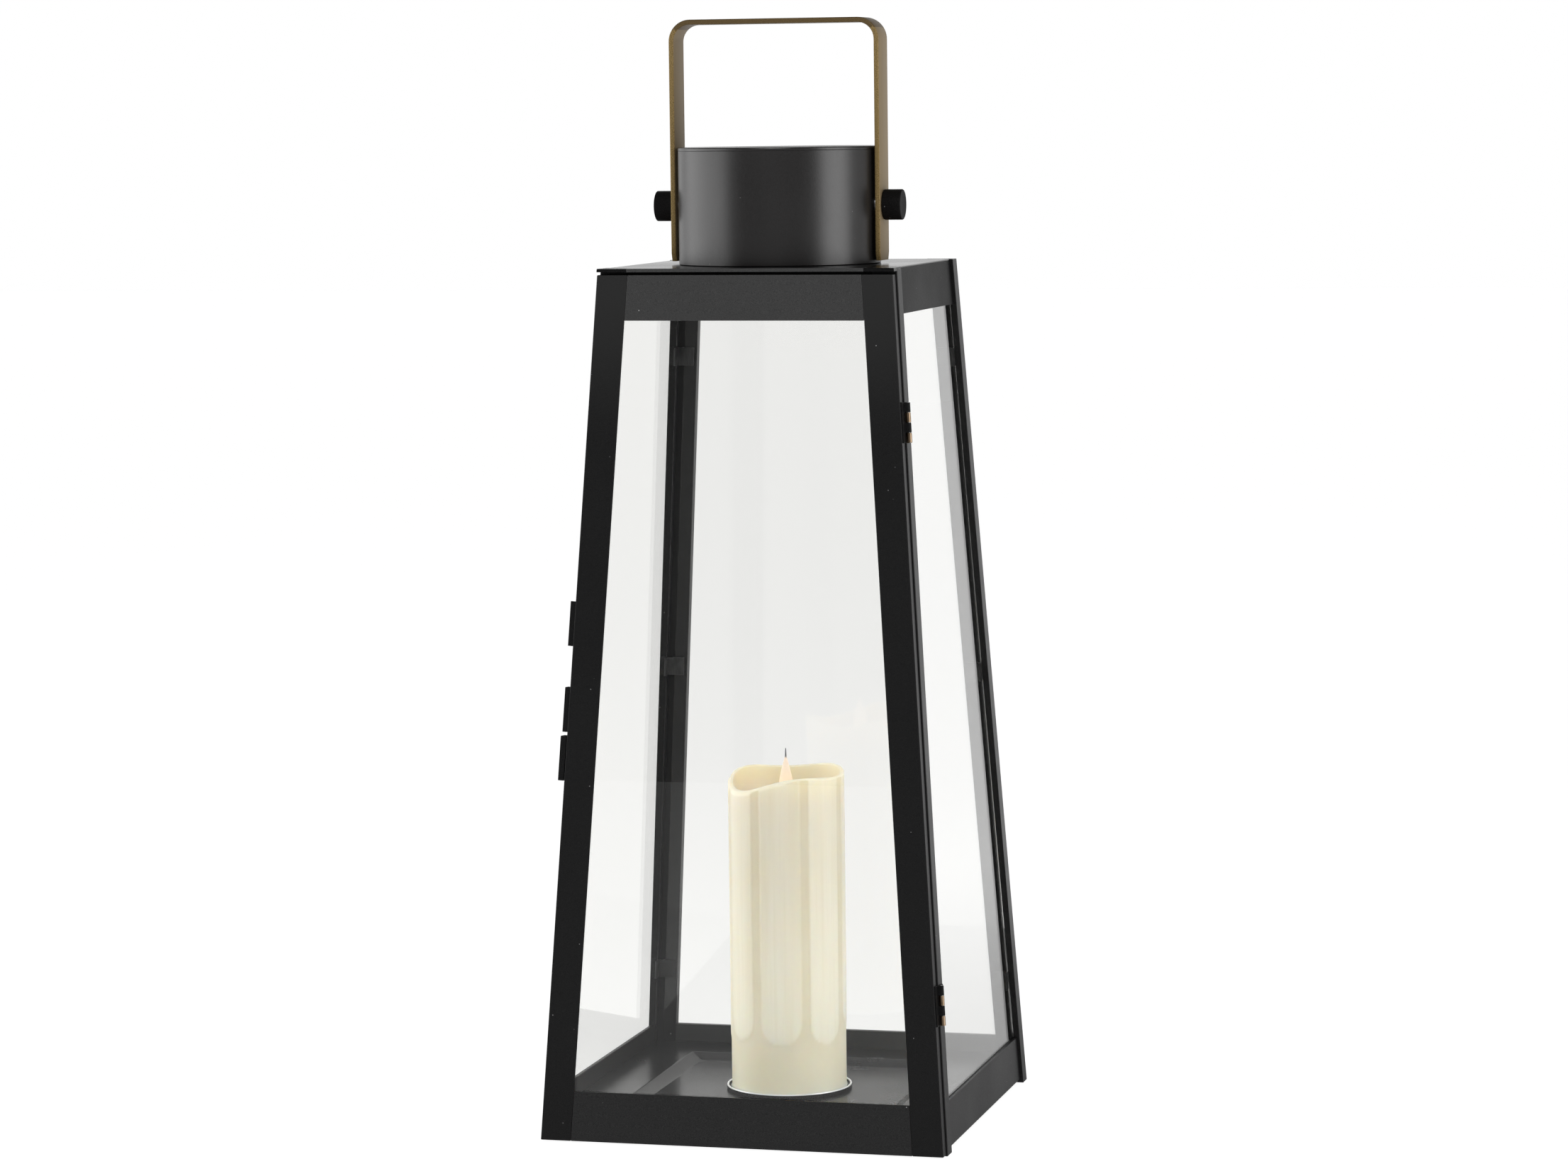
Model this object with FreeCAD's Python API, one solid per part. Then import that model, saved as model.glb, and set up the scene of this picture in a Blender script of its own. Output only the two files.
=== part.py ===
import FreeCAD, Part
import math
import os
from FreeCAD import Vector

# Tapered square lantern with a hinged glazed front door, a chimney with a swinging
# strap handle, and a flameless pillar candle.  Millimetres, +Z up, door towards -Y,
# origin at the centre of the footprint on the ground plane.

# ---- body of the lantern -------------------------------------------------------
BASE_WIDTH = 265.0
BASE_DEPTH = 252.0
ROOF_TOP = 554.5
TOP_INSET = 36.0
SLOPE = TOP_INSET / ROOF_TOP
SHEET = 1.0

POST_LEG_SIDE = 12.0
POST_LEG_REAR = 20.0
POST_LEG_FRONT = 16.0
POST_DEPTH = 6.5
EDGE_BREAK = 0.6

RAIL_RECESS = 2.0
ROOF_SHEET = 1.5
TOP_RAIL_LOW = 525.0
BOTTOM_RAIL_LOW = 2.5
BOTTOM_RAIL_HIGH = 31.0
LIP_LOW = 552.3
LIP_HALF_WIDTH = 77.0
VENT_RADIUS = 50.0

PAN_FLANGE = 19.0
PAN_FLOOR = 15.0
PAN_LEDGE = 35.0
PAN_SLOPE_RUN = 9.0
PAN_WALL_LOW = 8.0

PANE = 3.0
SIDE_PANE_INSET = 3.9
PANE_TOP = 534.0
SILL_HIGH = 19.0
HEADER_LOW = 532.0

# ---- door ------------------------------------------------------------------------
DOOR_THICK = 8.0
DOOR_GAP = 0.5
DOOR_LOW = 1.0
DOOR_HIGH = 550.5
DOOR_LEFT_INSET = 0.5
DOOR_RIGHT_INSET = 1.0
DOOR_SKIN = 1.2
STILE_WIDTH = 20.0
DOOR_WINDOW_LOW = 32.8
DOOR_WINDOW_HIGH = 521.8
STILE_LIP = 5.0
DOOR_PANE_EDGE = 6.0
DOOR_PANE_LOW = 15.0
DOOR_PANE_HIGH = 537.0
POST_FRONT = DOOR_THICK + DOOR_GAP

# ---- hinges ----------------------------------------------------------------------
HINGE_HEIGHT = 25.4
HINGE_CENTRES = {"lower": 94.5, "upper": 458.0}
KNUCKLE_RADIUS = 1.6
PIN_RADIUS = 0.8
PIN_CLEARANCE = 0.05
AXIS_OFFSET = 1.9
LEAF = 0.9
KNUCKLE_GAP = 0.15

# ---- latch -----------------------------------------------------------------------
PULL_Z = 330.2
GUIDE_Z = 275.6
KEEPER_Z = 244.6
LATCH_HEIGHT = 28.5
LATCH_PROUD = 3.0
KEEPER_PROUD = 3.9
BOLT_THICK = 1.2
BOLT_WIDTH = 4.0
BOLT_LENGTH = 26.0
BOLT_CLEARANCE = 0.2
BOLT_TRAVEL = 12.0

# ---- chimney and handle ----------------------------------------------------------
CHIMNEY_RADIUS = 65.1
CHIMNEY_WALL = 1.2
CHIMNEY_TOP = 629.7
CAP_EDGE = 1.5
PIVOT_Z = 592.0
STRAP_HALF_WIDTH = 69.4
STRAP_THICK = 3.2
STRAP_WIDTH = 25.0
STRAP_TOP = 711.5
STRAP_LOW = 556.6
STRAP_CORNER = 14.0
STRAP_END_RADIUS = 2.0
BOLT_SHANK = 3.05
STRAP_BORE = 3.12
KNOB_RADIUS = 9.8
KNOB_INNER = 69.7
KNOB_OUTER = 81.8
NUT_FLATS = 10.0
NUT_THICK = 5.0

# ---- candle ----------------------------------------------------------------------
CUP_RADIUS = 41.0
CUP_WALL = 1.4
CUP_HEIGHT = 3.2
CANDLE_RADIUS = 38.1
CANDLE_BASE = 16.3
CANDLE_RIM = 224.5
WAX_BORE = 30.0
CORE_RADIUS = 29.9
CORE_WALL = 1.6
CORE_BOTTOM = 19.2
CORE_TOP = 198.0
BOWL_RADIUS = 33.5
BOWL_FLOOR = 207.0
RIM_ROUND = 2.2
RIM_TILT = 1.6
SLOT_X = 7.5
SLOT_Y = 4.5

# ---- flame: half-widths and heights of the blade below its tip --------------------
FLAME_TIP = 239.5
FLAME_PIVOT = 203.0
FLAME_PROFILE = ((1.6, 200.5), (3.6, 206.0), (4.9, 214.0), (4.1, 222.0), (1.7, 231.0))
FLAME_HALF_WIDTH = 5.0
FLAME_HALF_THICK = 1.6
WIRE_RADIUS = 0.4
EAR_HALF = 2.0
STEM_LOW = 180.0
MAGNET_RADIUS = 4.0
MAGNET_HEIGHT = 6.0

# ---- works of the candle -----------------------------------------------------------
SHELF_LOW = 158.0
SHELF_THICK = 2.0
COIL_RADIUS = 7.0
COIL_BORE = 2.5
COIL_HEIGHT = 10.0
BOARD_HALF_X = 20.0
BOARD_HALF_Y = 8.5
BOARD_THICK = 1.6
LED_RADIUS = 2.5
LED_FLANGE = 2.9
LED_LENGTH = 6.0
LED_Y = -14.0
LED_Z = 184.0
LED_TILT = -28.0
BRACKET_HALF_X = 4.0
CELL_RADIUS = 13.0
CELL_X = 13.4
CELL_LOW = 24.0
CELL_LENGTH = 50.0
CELL_STUD = 2.0
CELL_STUD_RADIUS = 3.0
CONTACT_THICK = 0.6
STRIP_HALF = 4.0
STRIP_INNER = 8.0
STRIP_REACH = 26.3
CARRIER_LID = 2.4
HATCH_RADIUS = 20.0
HATCH_HOLE = 18.0
HATCH_X = -6.0
HATCH_LOW = 16.9
HATCH_GAP = 0.3
COIN_SLOT = 9.0
COIN_SLOT_HALF = 0.8
SWITCH_X = 23.0
SWITCH_HALF = 0.8
SWITCH_FLANGE = 2.4
SWITCH_HOLE = 4.0
SWITCH_HOLE_HALF = 1.3


def half_width(z):
    return BASE_WIDTH / 2 - SLOPE * z


def half_depth(z):
    return BASE_DEPTH / 2 - SLOPE * z


def prism(outline, z_low, z_high):
    """Straight-edged solid whose outline(z) is a list of (x, y) corners at height z."""
    low = [Vector(x, y, z_low) for x, y in outline(z_low)]
    high = [Vector(x, y, z_high) for x, y in outline(z_high)]
    count = len(low)
    faces = [Part.Face(Part.makePolygon(ring + ring[:1])) for ring in (low, high)]
    for i in range(count):
        j = (i + 1) % count
        ring = [low[i], low[j], high[j], high[i], low[i]]
        faces.append(Part.Face(Part.makePolygon(ring)))
    shell = Part.makeShell(faces)
    shell.sewShape()
    solid = Part.Solid(shell)
    if solid.Volume < 0:
        shell.reverse()
        solid = Part.Solid(shell)
    return solid


def corner_outline(profile, side, end):
    """Outline of a corner member; profile gives distances in from the two faces."""
    def outline(z):
        return [(side * (half_width(z) - a), end * (half_depth(z) - b)) for a, b in profile]
    return outline


def box_outline(x_low, x_high, y_low, y_high):
    """Rectangle whose four limits are functions of height."""
    def outline(z):
        return [
            (x_low(z), y_low(z)),
            (x_high(z), y_low(z)),
            (x_high(z), y_high(z)),
            (x_low(z), y_high(z)),
        ]
    return outline


def from_side(side, inset):
    return lambda z: side * (half_width(z) - inset)


def from_front(inset):
    return lambda z: -half_depth(z) + inset


def from_rear(inset):
    return lambda z: half_depth(z) - inset


def level(value):
    return lambda z: value


def ring(outer, inner, z_low, z_high):
    body = Part.makeCylinder(outer, z_high - z_low, Vector(0, 0, z_low))
    return body.cut(Part.makeCylinder(inner, z_high - z_low, Vector(0, 0, z_low)))


def disc(radius, z_low, z_high, x=0.0, y=0.0):
    return Part.makeCylinder(radius, z_high - z_low, Vector(x, y, z_low))


def box(x_low, x_high, y_low, y_high, z_low, z_high):
    size = (x_high - x_low, y_high - y_low, z_high - z_low)
    return Part.makeBox(*size, Vector(x_low, y_low, z_low))


def axle(radius, x_low, x_high, z):
    """Cylinder along X at height z."""
    return Part.makeCylinder(radius, x_high - x_low, Vector(x_low, 0, z), Vector(1, 0, 0))


def join(shapes):
    body = shapes[0]
    for shape in shapes[1:]:
        body = body.fuse(shape)
    return body.removeSplitter()


def face_frame(side, z, offset, back):
    """Placement on a sloped side face: X outwards, Z up along the corner."""
    outward = Vector(side, 0, SLOPE).normalize()
    up = Vector(-side * SLOPE, SLOPE, 1).normalize()
    origin = Vector(side * half_width(z), -half_depth(z) + back, z) + outward * offset
    turn = FreeCAD.Rotation(outward, up.cross(outward), up, "ZXY")
    return FreeCAD.Placement(origin, turn)


def placed(shape, frame):
    moved = shape.copy()
    moved.Placement = frame.multiply(moved.Placement)
    return moved


parts = {}

# ---- corner posts: closed angle tubes, flush with the roof ------------------------
REAR_PROFILE = [
    (EDGE_BREAK, 0), (POST_LEG_REAR, 0), (POST_LEG_REAR, POST_DEPTH),
    (POST_DEPTH, POST_DEPTH), (POST_DEPTH, POST_LEG_SIDE), (0, POST_LEG_SIDE),
    (0, EDGE_BREAK),
]
FRONT_PROFILE = [
    (0, POST_FRONT), (POST_LEG_FRONT, POST_FRONT), (POST_LEG_FRONT, POST_FRONT + POST_DEPTH),
    (POST_DEPTH, POST_FRONT + POST_DEPTH), (POST_DEPTH, POST_FRONT + POST_LEG_SIDE),
    (0, POST_FRONT + POST_LEG_SIDE),
]


def hollow_profile(leg_x, start, leg_y):
    near = start + SHEET
    inner = POST_DEPTH - SHEET
    return [
        (SHEET, near), (leg_x - SHEET, near), (leg_x - SHEET, start + inner),
        (inner, start + inner), (inner, start + leg_y - SHEET), (SHEET, start + leg_y - SHEET),
    ]


REAR_HOLLOW = hollow_profile(POST_LEG_REAR, 0, POST_LEG_SIDE)
FRONT_HOLLOW = hollow_profile(POST_LEG_FRONT, POST_FRONT, POST_LEG_SIDE)
SIDES = {"left": -1, "right": 1}
post_shapes = []
for name, side in SIDES.items():
    for place, end, profile, hollow in (
        ("front", -1, FRONT_PROFILE, FRONT_HOLLOW),
        ("rear", 1, REAR_PROFILE, REAR_HOLLOW),
    ):
        skin = prism(corner_outline(profile, side, end), 0, ROOF_TOP)
        void = prism(corner_outline(hollow, side, end), SHEET, ROOF_TOP - SHEET)
        post_shapes.append(skin)
        parts["post_%s_%s" % (place, name)] = skin.cut(void)


def side_rail(side, outer, inner, z_low, z_high):
    """Rail between the side legs of the posts on one side face."""
    near = from_front(POST_FRONT + POST_LEG_SIDE)
    far = from_rear(POST_LEG_SIDE)
    skin = prism(
        box_outline(from_side(side, outer), from_side(side, inner), near, far), z_low, z_high
    )
    void = prism(
        box_outline(from_side(side, outer + SHEET), from_side(side, inner - SHEET), near, far),
        z_low + SHEET, z_high - SHEET,
    )
    return skin.cut(void)


def cross_rail(near, far, inset, z_low, z_high):
    """Rail along X; near and far are functions that give the limits in Y."""
    outline = box_outline(from_side(-1, inset), from_side(1, inset), near, far)
    inner = box_outline(
        from_side(-1, inset), from_side(1, inset),
        lambda z: near(z) + SHEET, lambda z: far(z) - SHEET,
    )
    return prism(outline, z_low, z_high).cut(prism(inner, z_low + SHEET, z_high - SHEET))


ROOF_LOW = ROOF_TOP - ROOF_SHEET
SKIRT_INNER = RAIL_RECESS + ROOF_SHEET
for name, side in SIDES.items():
    parts["bottom_rail_" + name] = side_rail(
        side, RAIL_RECESS, POST_DEPTH, BOTTOM_RAIL_LOW, BOTTOM_RAIL_HIGH
    )
    parts["top_rail_" + name] = side_rail(side, SKIRT_INNER, POST_DEPTH, TOP_RAIL_LOW, ROOF_LOW)
parts["bottom_rail_rear"] = cross_rail(
    from_rear(POST_DEPTH), from_rear(RAIL_RECESS), POST_LEG_REAR,
    BOTTOM_RAIL_LOW, BOTTOM_RAIL_HIGH,
)
parts["top_rail_rear"] = cross_rail(
    from_rear(POST_DEPTH), from_rear(SKIRT_INNER), POST_LEG_REAR, TOP_RAIL_LOW, ROOF_LOW
)
parts["front_header"] = cross_rail(
    from_front(POST_FRONT), from_front(POST_FRONT + POST_DEPTH), POST_LEG_FRONT,
    HEADER_LOW, ROOF_LOW,
)
parts["front_sill"] = cross_rail(
    from_front(POST_FRONT), from_front(POST_FRONT + POST_DEPTH), POST_LEG_FRONT,
    BOTTOM_RAIL_LOW, SILL_HIGH,
)

# ---- roof: one folded sheet with three skirts, a low front lip and a vent ----------


def folded_bar(low, high, along_x):
    """Bar over the full width with its outer top edges bent to a radius.

    low and high are the limits at the skirt's lower edge and at the roof's top.
    """
    corners = [
        (low[0], TOP_RAIL_LOW), (low[1], TOP_RAIL_LOW), (high[1], ROOF_TOP), (high[0], ROOF_TOP)
    ]
    half = BASE_WIDTH / 2
    if along_x:
        points = [Vector(-half, across, z) for across, z in corners]
        run = Vector(BASE_WIDTH, 0, 0)
    else:
        points = [Vector(across, -half, z) for across, z in corners]
        run = Vector(0, BASE_WIDTH, 0)
    bar = Part.Face(Part.makePolygon(points + points[:1])).extrude(run)
    edges = []
    for edge in bar.Edges:
        middle = edge.CenterOfMass
        across = middle.y if along_x else middle.x
        if middle.z > ROOF_TOP - EDGE_BREAK and edge.Length > half and abs(across) > VENT_RADIUS:
            edges.append(edge)
    return bar.makeFillet(ROOF_SHEET * 0.9, edges)


cover_rear = from_rear(RAIL_RECESS)
cover_side = from_side(1, RAIL_RECESS)
side_low = cover_side(TOP_RAIL_LOW)
side_high = cover_side(ROOF_TOP)
sides_bar = folded_bar((-side_low, side_low), (-side_high, side_high), False)
rear_bar = folded_bar(
    (-BASE_DEPTH / 2, cover_rear(TOP_RAIL_LOW)), (-BASE_DEPTH / 2, cover_rear(ROOF_TOP)), True
)
cover = sides_bar.common(rear_bar)
cover = cover.cut(box(-BASE_WIDTH, BASE_WIDTH, -BASE_DEPTH, -half_depth(ROOF_TOP) + POST_FRONT,
                      0, BASE_DEPTH * 3))
under = prism(
    box_outline(
        from_side(-1, SKIRT_INNER), from_side(1, SKIRT_INNER),
        from_front(-1), from_rear(SKIRT_INNER),
    ),
    TOP_RAIL_LOW - SHEET, ROOF_LOW,
)
front_sheet = prism(
    box_outline(level(-LIP_HALF_WIDTH), level(LIP_HALF_WIDTH), from_front(0),
                from_front(POST_FRONT + SHEET)),
    LIP_LOW, ROOF_TOP,
)
front_under = prism(
    box_outline(level(-LIP_HALF_WIDTH), level(LIP_HALF_WIDTH), from_front(SHEET),
                from_front(POST_FRONT + 2 * SHEET)),
    LIP_LOW - SHEET, ROOF_LOW,
)
roof = join([cover.cut(under), front_sheet.cut(front_under)])
for post in post_shapes:
    roof = roof.cut(post)
front_block = box(-BASE_WIDTH, BASE_WIDTH, -half_depth(TOP_RAIL_LOW) - SHEET,
                  -half_depth(ROOF_TOP) + POST_FRONT + POST_LEG_SIDE,
                  TOP_RAIL_LOW - SHEET, ROOF_LOW)
roof = roof.cut(front_block.cut(box(-LIP_HALF_WIDTH, LIP_HALF_WIDTH,
                                    -BASE_DEPTH, -half_depth(ROOF_TOP) + POST_FRONT,
                                    LIP_LOW, ROOF_LOW)))
parts["roof_plate"] = roof.cut(disc(VENT_RADIUS, ROOF_LOW - SHEET, ROOF_TOP + SHEET))
for name, side in SIDES.items():
    parts["front_tab_" + name] = prism(
        box_outline(level(side * LIP_HALF_WIDTH), from_side(side, 0), from_front(0),
                    from_front(POST_FRONT)),
        LIP_LOW, ROOF_TOP,
    )

# ---- floor pan: flanged tray with a sloped step ------------------------------------


def pan_outline(inset):
    return box_outline(
        from_side(-1, POST_DEPTH + inset), from_side(1, POST_DEPTH + inset),
        from_front(POST_FRONT + POST_DEPTH + inset), from_rear(POST_DEPTH + inset),
    )


def tray(drop, outer, inner):
    """Sloped hollow from the ledge down to the tray floor."""
    def outline(z):
        share = (PAN_FLANGE - drop - z) / (PAN_FLANGE - PAN_FLOOR)
        return pan_outline(outer + share * (inner - outer))(z)
    return prism(outline, PAN_FLOOR - drop, PAN_FLANGE - drop)


pan_wall = prism(pan_outline(0), PAN_WALL_LOW, PAN_FLANGE)
pan_under = prism(pan_outline(SHEET), PAN_WALL_LOW, PAN_FLANGE - SHEET)
deep_run = PAN_LEDGE + PAN_SLOPE_RUN
pan = join([pan_wall.cut(pan_under), tray(SHEET, PAN_LEDGE, deep_run)])
parts["floor_pan"] = pan.cut(tray(0, PAN_LEDGE, deep_run))

# ---- fixed panes and their spring clips --------------------------------------------
# The side panes stand between the posts' side legs, on the bottom rails. The rear pane
# stands behind the rear legs, on the pan's flange.
PANE_INNER = POST_DEPTH + PANE
SIDE_PANE_INNER = SIDE_PANE_INSET + PANE
CORNER_GAP = 2.0
for name, side in SIDES.items():
    outline = box_outline(
        from_side(side, SIDE_PANE_INSET), from_side(side, SIDE_PANE_INNER),
        from_front(POST_FRONT + POST_LEG_SIDE), from_rear(POST_LEG_SIDE),
    )
    parts["glass_" + name] = prism(outline, BOTTOM_RAIL_HIGH, TOP_RAIL_LOW)
parts["glass_rear"] = prism(
    box_outline(
        from_side(-1, PANE_INNER + CORNER_GAP), from_side(1, PANE_INNER + CORNER_GAP),
        from_rear(PANE_INNER), from_rear(POST_DEPTH),
    ),
    PAN_FLANGE, PANE_TOP,
)

CLIP_HEIGHT = 12.0
CLIP_REACH = 8.0
TONGUE_SLACK = 0.2
CLIP_LEVELS = (70.0, 280.0, 490.0)


def slanted(profile, side, end, z):
    return prism(corner_outline(profile, side, end), z - CLIP_HEIGHT / 2, z + CLIP_HEIGHT / 2)


rear_clips = []
front_clips = []
for side in SIDES.values():
    for z in CLIP_LEVELS:
        back = PANE_INNER + SHEET
        spring = SIDE_PANE_INNER + SHEET
        tongue = (PANE_INNER + TONGUE_SLACK, PANE_INNER + CORNER_GAP - TONGUE_SLACK)
        rear_clips.append(slanted([
            (tongue[0], POST_DEPTH), (tongue[1], POST_DEPTH), (tongue[1], PANE_INNER),
            (back + CLIP_REACH, PANE_INNER), (back + CLIP_REACH, back), (spring, back),
            (spring, back + CLIP_REACH), (SIDE_PANE_INNER, back + CLIP_REACH),
            (SIDE_PANE_INNER, PANE_INNER), (tongue[0], PANE_INNER),
        ], side, 1, z))
        start = POST_FRONT + POST_DEPTH + TONGUE_SLACK
        stop = POST_FRONT + POST_DEPTH + CORNER_GAP - TONGUE_SLACK
        reach = POST_FRONT + POST_LEG_SIDE + CLIP_REACH
        front_clips.append(slanted([
            (POST_DEPTH, start), (POST_DEPTH, stop), (SIDE_PANE_INNER, stop),
            (SIDE_PANE_INNER, reach), (spring, reach), (spring, start),
        ], side, -1, z))
parts["glass_clips_rear"] = Part.makeCompound(rear_clips)
parts["glass_clips_front"] = Part.makeCompound(front_clips)

# ---- door: channel frame, pane and clips -------------------------------------------
DOOR_INSET = {"left": DOOR_LEFT_INSET, "right": DOOR_RIGHT_INSET}
door_clips = []
for name, side in SIDES.items():
    edge = DOOR_INSET[name]
    wall = edge + DOOR_SKIN
    parts["door_stile_" + name] = prism(corner_outline([
        (edge, 0), (edge + STILE_WIDTH, 0), (edge + STILE_WIDTH, DOOR_SKIN), (wall, DOOR_SKIN),
        (wall, DOOR_THICK - DOOR_SKIN), (edge + STILE_LIP, DOOR_THICK - DOOR_SKIN),
        (edge + STILE_LIP, DOOR_THICK), (edge, DOOR_THICK),
    ], side, -1), DOOR_LOW, DOOR_HIGH)
    pane_back = DOOR_SKIN + PANE
    for z in CLIP_LEVELS:
        door_clips.append(slanted([
            (wall, pane_back), (wall + 2 * CLIP_REACH, pane_back),
            (wall + 2 * CLIP_REACH, pane_back + SHEET), (wall, pane_back + SHEET),
        ], side, -1, z))
parts["door_glass_clips"] = Part.makeCompound(door_clips)


def door_rail(z_low, z_high, fold_low, fold_high):
    """Front skin with one fold back along its outer edge."""
    left = from_side(-1, DOOR_LEFT_INSET + STILE_WIDTH)
    right = from_side(1, DOOR_RIGHT_INSET + STILE_WIDTH)
    skin = prism(box_outline(left, right, from_front(0), from_front(DOOR_SKIN)), z_low, z_high)
    fold = prism(
        box_outline(left, right, from_front(0), from_front(DOOR_THICK)), fold_low, fold_high
    )
    return join([skin, fold])


parts["door_rail_top"] = door_rail(
    DOOR_WINDOW_HIGH, DOOR_HIGH, DOOR_HIGH - DOOR_SKIN, DOOR_HIGH
)
parts["door_rail_bottom"] = door_rail(
    DOOR_LOW, DOOR_WINDOW_LOW, DOOR_LOW, DOOR_LOW + DOOR_SKIN
)
parts["door_glass"] = prism(
    box_outline(
        from_side(-1, DOOR_LEFT_INSET + DOOR_PANE_EDGE),
        from_side(1, DOOR_RIGHT_INSET + DOOR_PANE_EDGE),
        from_front(DOOR_SKIN), from_front(DOOR_SKIN + PANE),
    ),
    DOOR_PANE_LOW, DOOR_PANE_HIGH,
)

# ---- butt hinges in the seam between the door and the right front post ---------------
DOOR_SIDE = -AXIS_OFFSET - DOOR_RIGHT_INSET / math.hypot(1, SLOPE)
KNUCKLE = HINGE_HEIGHT / 4
LEAF_REACH_DOOR = 7.0
LEAF_REACH_POST = 9.5


def hinge_leaf(segments, back, y_low, y_high, web_low, web_high, bore):
    half = HINGE_HEIGHT / 2
    shapes = [box(back, back + LEAF, y_low, y_high, -half, half)]
    for index in segments:
        z_low = half - (index + 1) * KNUCKLE + KNUCKLE_GAP
        z_high = half - index * KNUCKLE - KNUCKLE_GAP
        shapes.append(disc(KNUCKLE_RADIUS, z_low, z_high))
        shapes.append(box(back, 0, web_low, web_high, z_low, z_high))
    return join(shapes).cut(disc(bore, -half, half))


door_leaf = hinge_leaf(
    (0, 2), DOOR_SIDE, -LEAF_REACH_DOOR, -KNUCKLE_RADIUS, -KNUCKLE_RADIUS, 0,
    PIN_RADIUS + PIN_CLEARANCE,
)
post_leaf = hinge_leaf(
    (1, 3), -AXIS_OFFSET, KNUCKLE_RADIUS, LEAF_REACH_POST, 0, KNUCKLE_RADIUS, PIN_RADIUS
)
pin = disc(PIN_RADIUS, -HINGE_HEIGHT / 2, HINGE_HEIGHT / 2)
SEAM = DOOR_THICK + DOOR_GAP / 2
for name, z in HINGE_CENTRES.items():
    frame = face_frame(1, z, AXIS_OFFSET, SEAM)
    parts["hinge_door_leaf_" + name] = placed(door_leaf, frame)
    parts["hinge_post_leaf_" + name] = placed(post_leaf, frame)
    parts["hinge_pin_" + name] = placed(pin, frame)

# ---- latch on the left side: pull, slide bolt in its guide, keeper on the post --------
# Local frame: X outwards from the side face, -Y towards the rear, Z up the corner.
LATCH_FRONT = -0.8
LATCH_REAR = -7.6
SLOT_LOW = 0.6
SLOT_FRONT = -1.9
SLOT_REAR = SLOT_FRONT - BOLT_WIDTH - 2 * BOLT_CLEARANCE
SLOT_HIGH = SLOT_LOW + BOLT_THICK + 2 * BOLT_CLEARANCE
HALF_LATCH = LATCH_HEIGHT / 2
DOOR_FACE = -DOOR_LEFT_INSET / math.hypot(1, SLOPE)
TAB_HEIGHT = 5.0
TAB_REAR = -13.5
slot = box(SLOT_LOW, SLOT_HIGH, SLOT_REAR, SLOT_FRONT, -HALF_LATCH, HALF_LATCH)

pull = join([
    box(DOOR_FACE, SLOT_LOW, LATCH_REAR, LATCH_FRONT, -HALF_LATCH, HALF_LATCH),
    box(DOOR_FACE, LATCH_PROUD, LATCH_FRONT - DOOR_SKIN, LATCH_FRONT, -HALF_LATCH, HALF_LATCH),
])
parts["door_pull"] = placed(pull, face_frame(-1, PULL_Z, 0, 0))

bolt_top = BOLT_LENGTH / 2
tab_top = bolt_top - SHEET
tab_low = tab_top - TAB_HEIGHT
guide = box(DOOR_FACE, LATCH_PROUD, LATCH_REAR, LATCH_FRONT, -HALF_LATCH, HALF_LATCH).cut(slot)
tab_slit = box(SLOT_LOW, SLOT_HIGH, LATCH_REAR, SLOT_REAR,
               tab_low - BOLT_TRAVEL - SHEET, tab_top + SHEET / 2)
parts["latch_guide"] = placed(guide.cut(tab_slit), face_frame(-1, GUIDE_Z, 0, 0))

bolt_low_x = SLOT_LOW + BOLT_CLEARANCE
bolt_front = SLOT_FRONT - BOLT_CLEARANCE
bolt = join([
    box(bolt_low_x, bolt_low_x + BOLT_THICK, bolt_front - BOLT_WIDTH, bolt_front,
        -bolt_top, bolt_top),
    box(bolt_low_x, bolt_low_x + BOLT_THICK, TAB_REAR, bolt_front - BOLT_WIDTH,
        tab_low, tab_top),
])
parts["latch_bolt"] = placed(bolt, face_frame(-1, GUIDE_Z, 0, 0))

keeper = join([
    box(0, DOOR_SKIN, -POST_FRONT - POST_LEG_SIDE + SHEET, -POST_FRONT, -HALF_LATCH, HALF_LATCH),
    box(0, KEEPER_PROUD, -POST_FRONT - SHEET / 2, LATCH_FRONT, -HALF_LATCH, HALF_LATCH),
]).cut(slot)
parts["latch_keeper"] = placed(keeper, face_frame(-1, KEEPER_Z, 0, 0))

# ---- chimney -------------------------------------------------------------------------
SHELL_TOP = CHIMNEY_TOP - 2.2
inner_radius = CHIMNEY_RADIUS - CHIMNEY_WALL
shell = disc(CHIMNEY_RADIUS, ROOF_TOP, SHELL_TOP)
foot_edges = [edge for edge in shell.Edges if abs(edge.CenterOfMass.z - ROOF_TOP) < SHEET / 2]
shell = shell.makeChamfer(EDGE_BREAK, foot_edges)
shell = shell.cut(disc(inner_radius, ROOF_TOP, SHELL_TOP))
pivot_hole = axle(BOLT_SHANK, -CHIMNEY_RADIUS, CHIMNEY_RADIUS, PIVOT_Z)
parts["chimney_shell"] = shell.cut(pivot_hole)
cap = disc(CHIMNEY_RADIUS, SHELL_TOP, CHIMNEY_TOP)
rim_edges = [edge for edge in cap.Edges if edge.CenterOfMass.z > CHIMNEY_TOP - SHEET / 2]
cap = cap.makeFillet(CAP_EDGE, rim_edges)
spigot = ring(inner_radius, inner_radius - CHIMNEY_WALL, SHELL_TOP - 4 * SHEET, SHELL_TOP)
parts["chimney_cap"] = join([cap, spigot])

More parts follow.
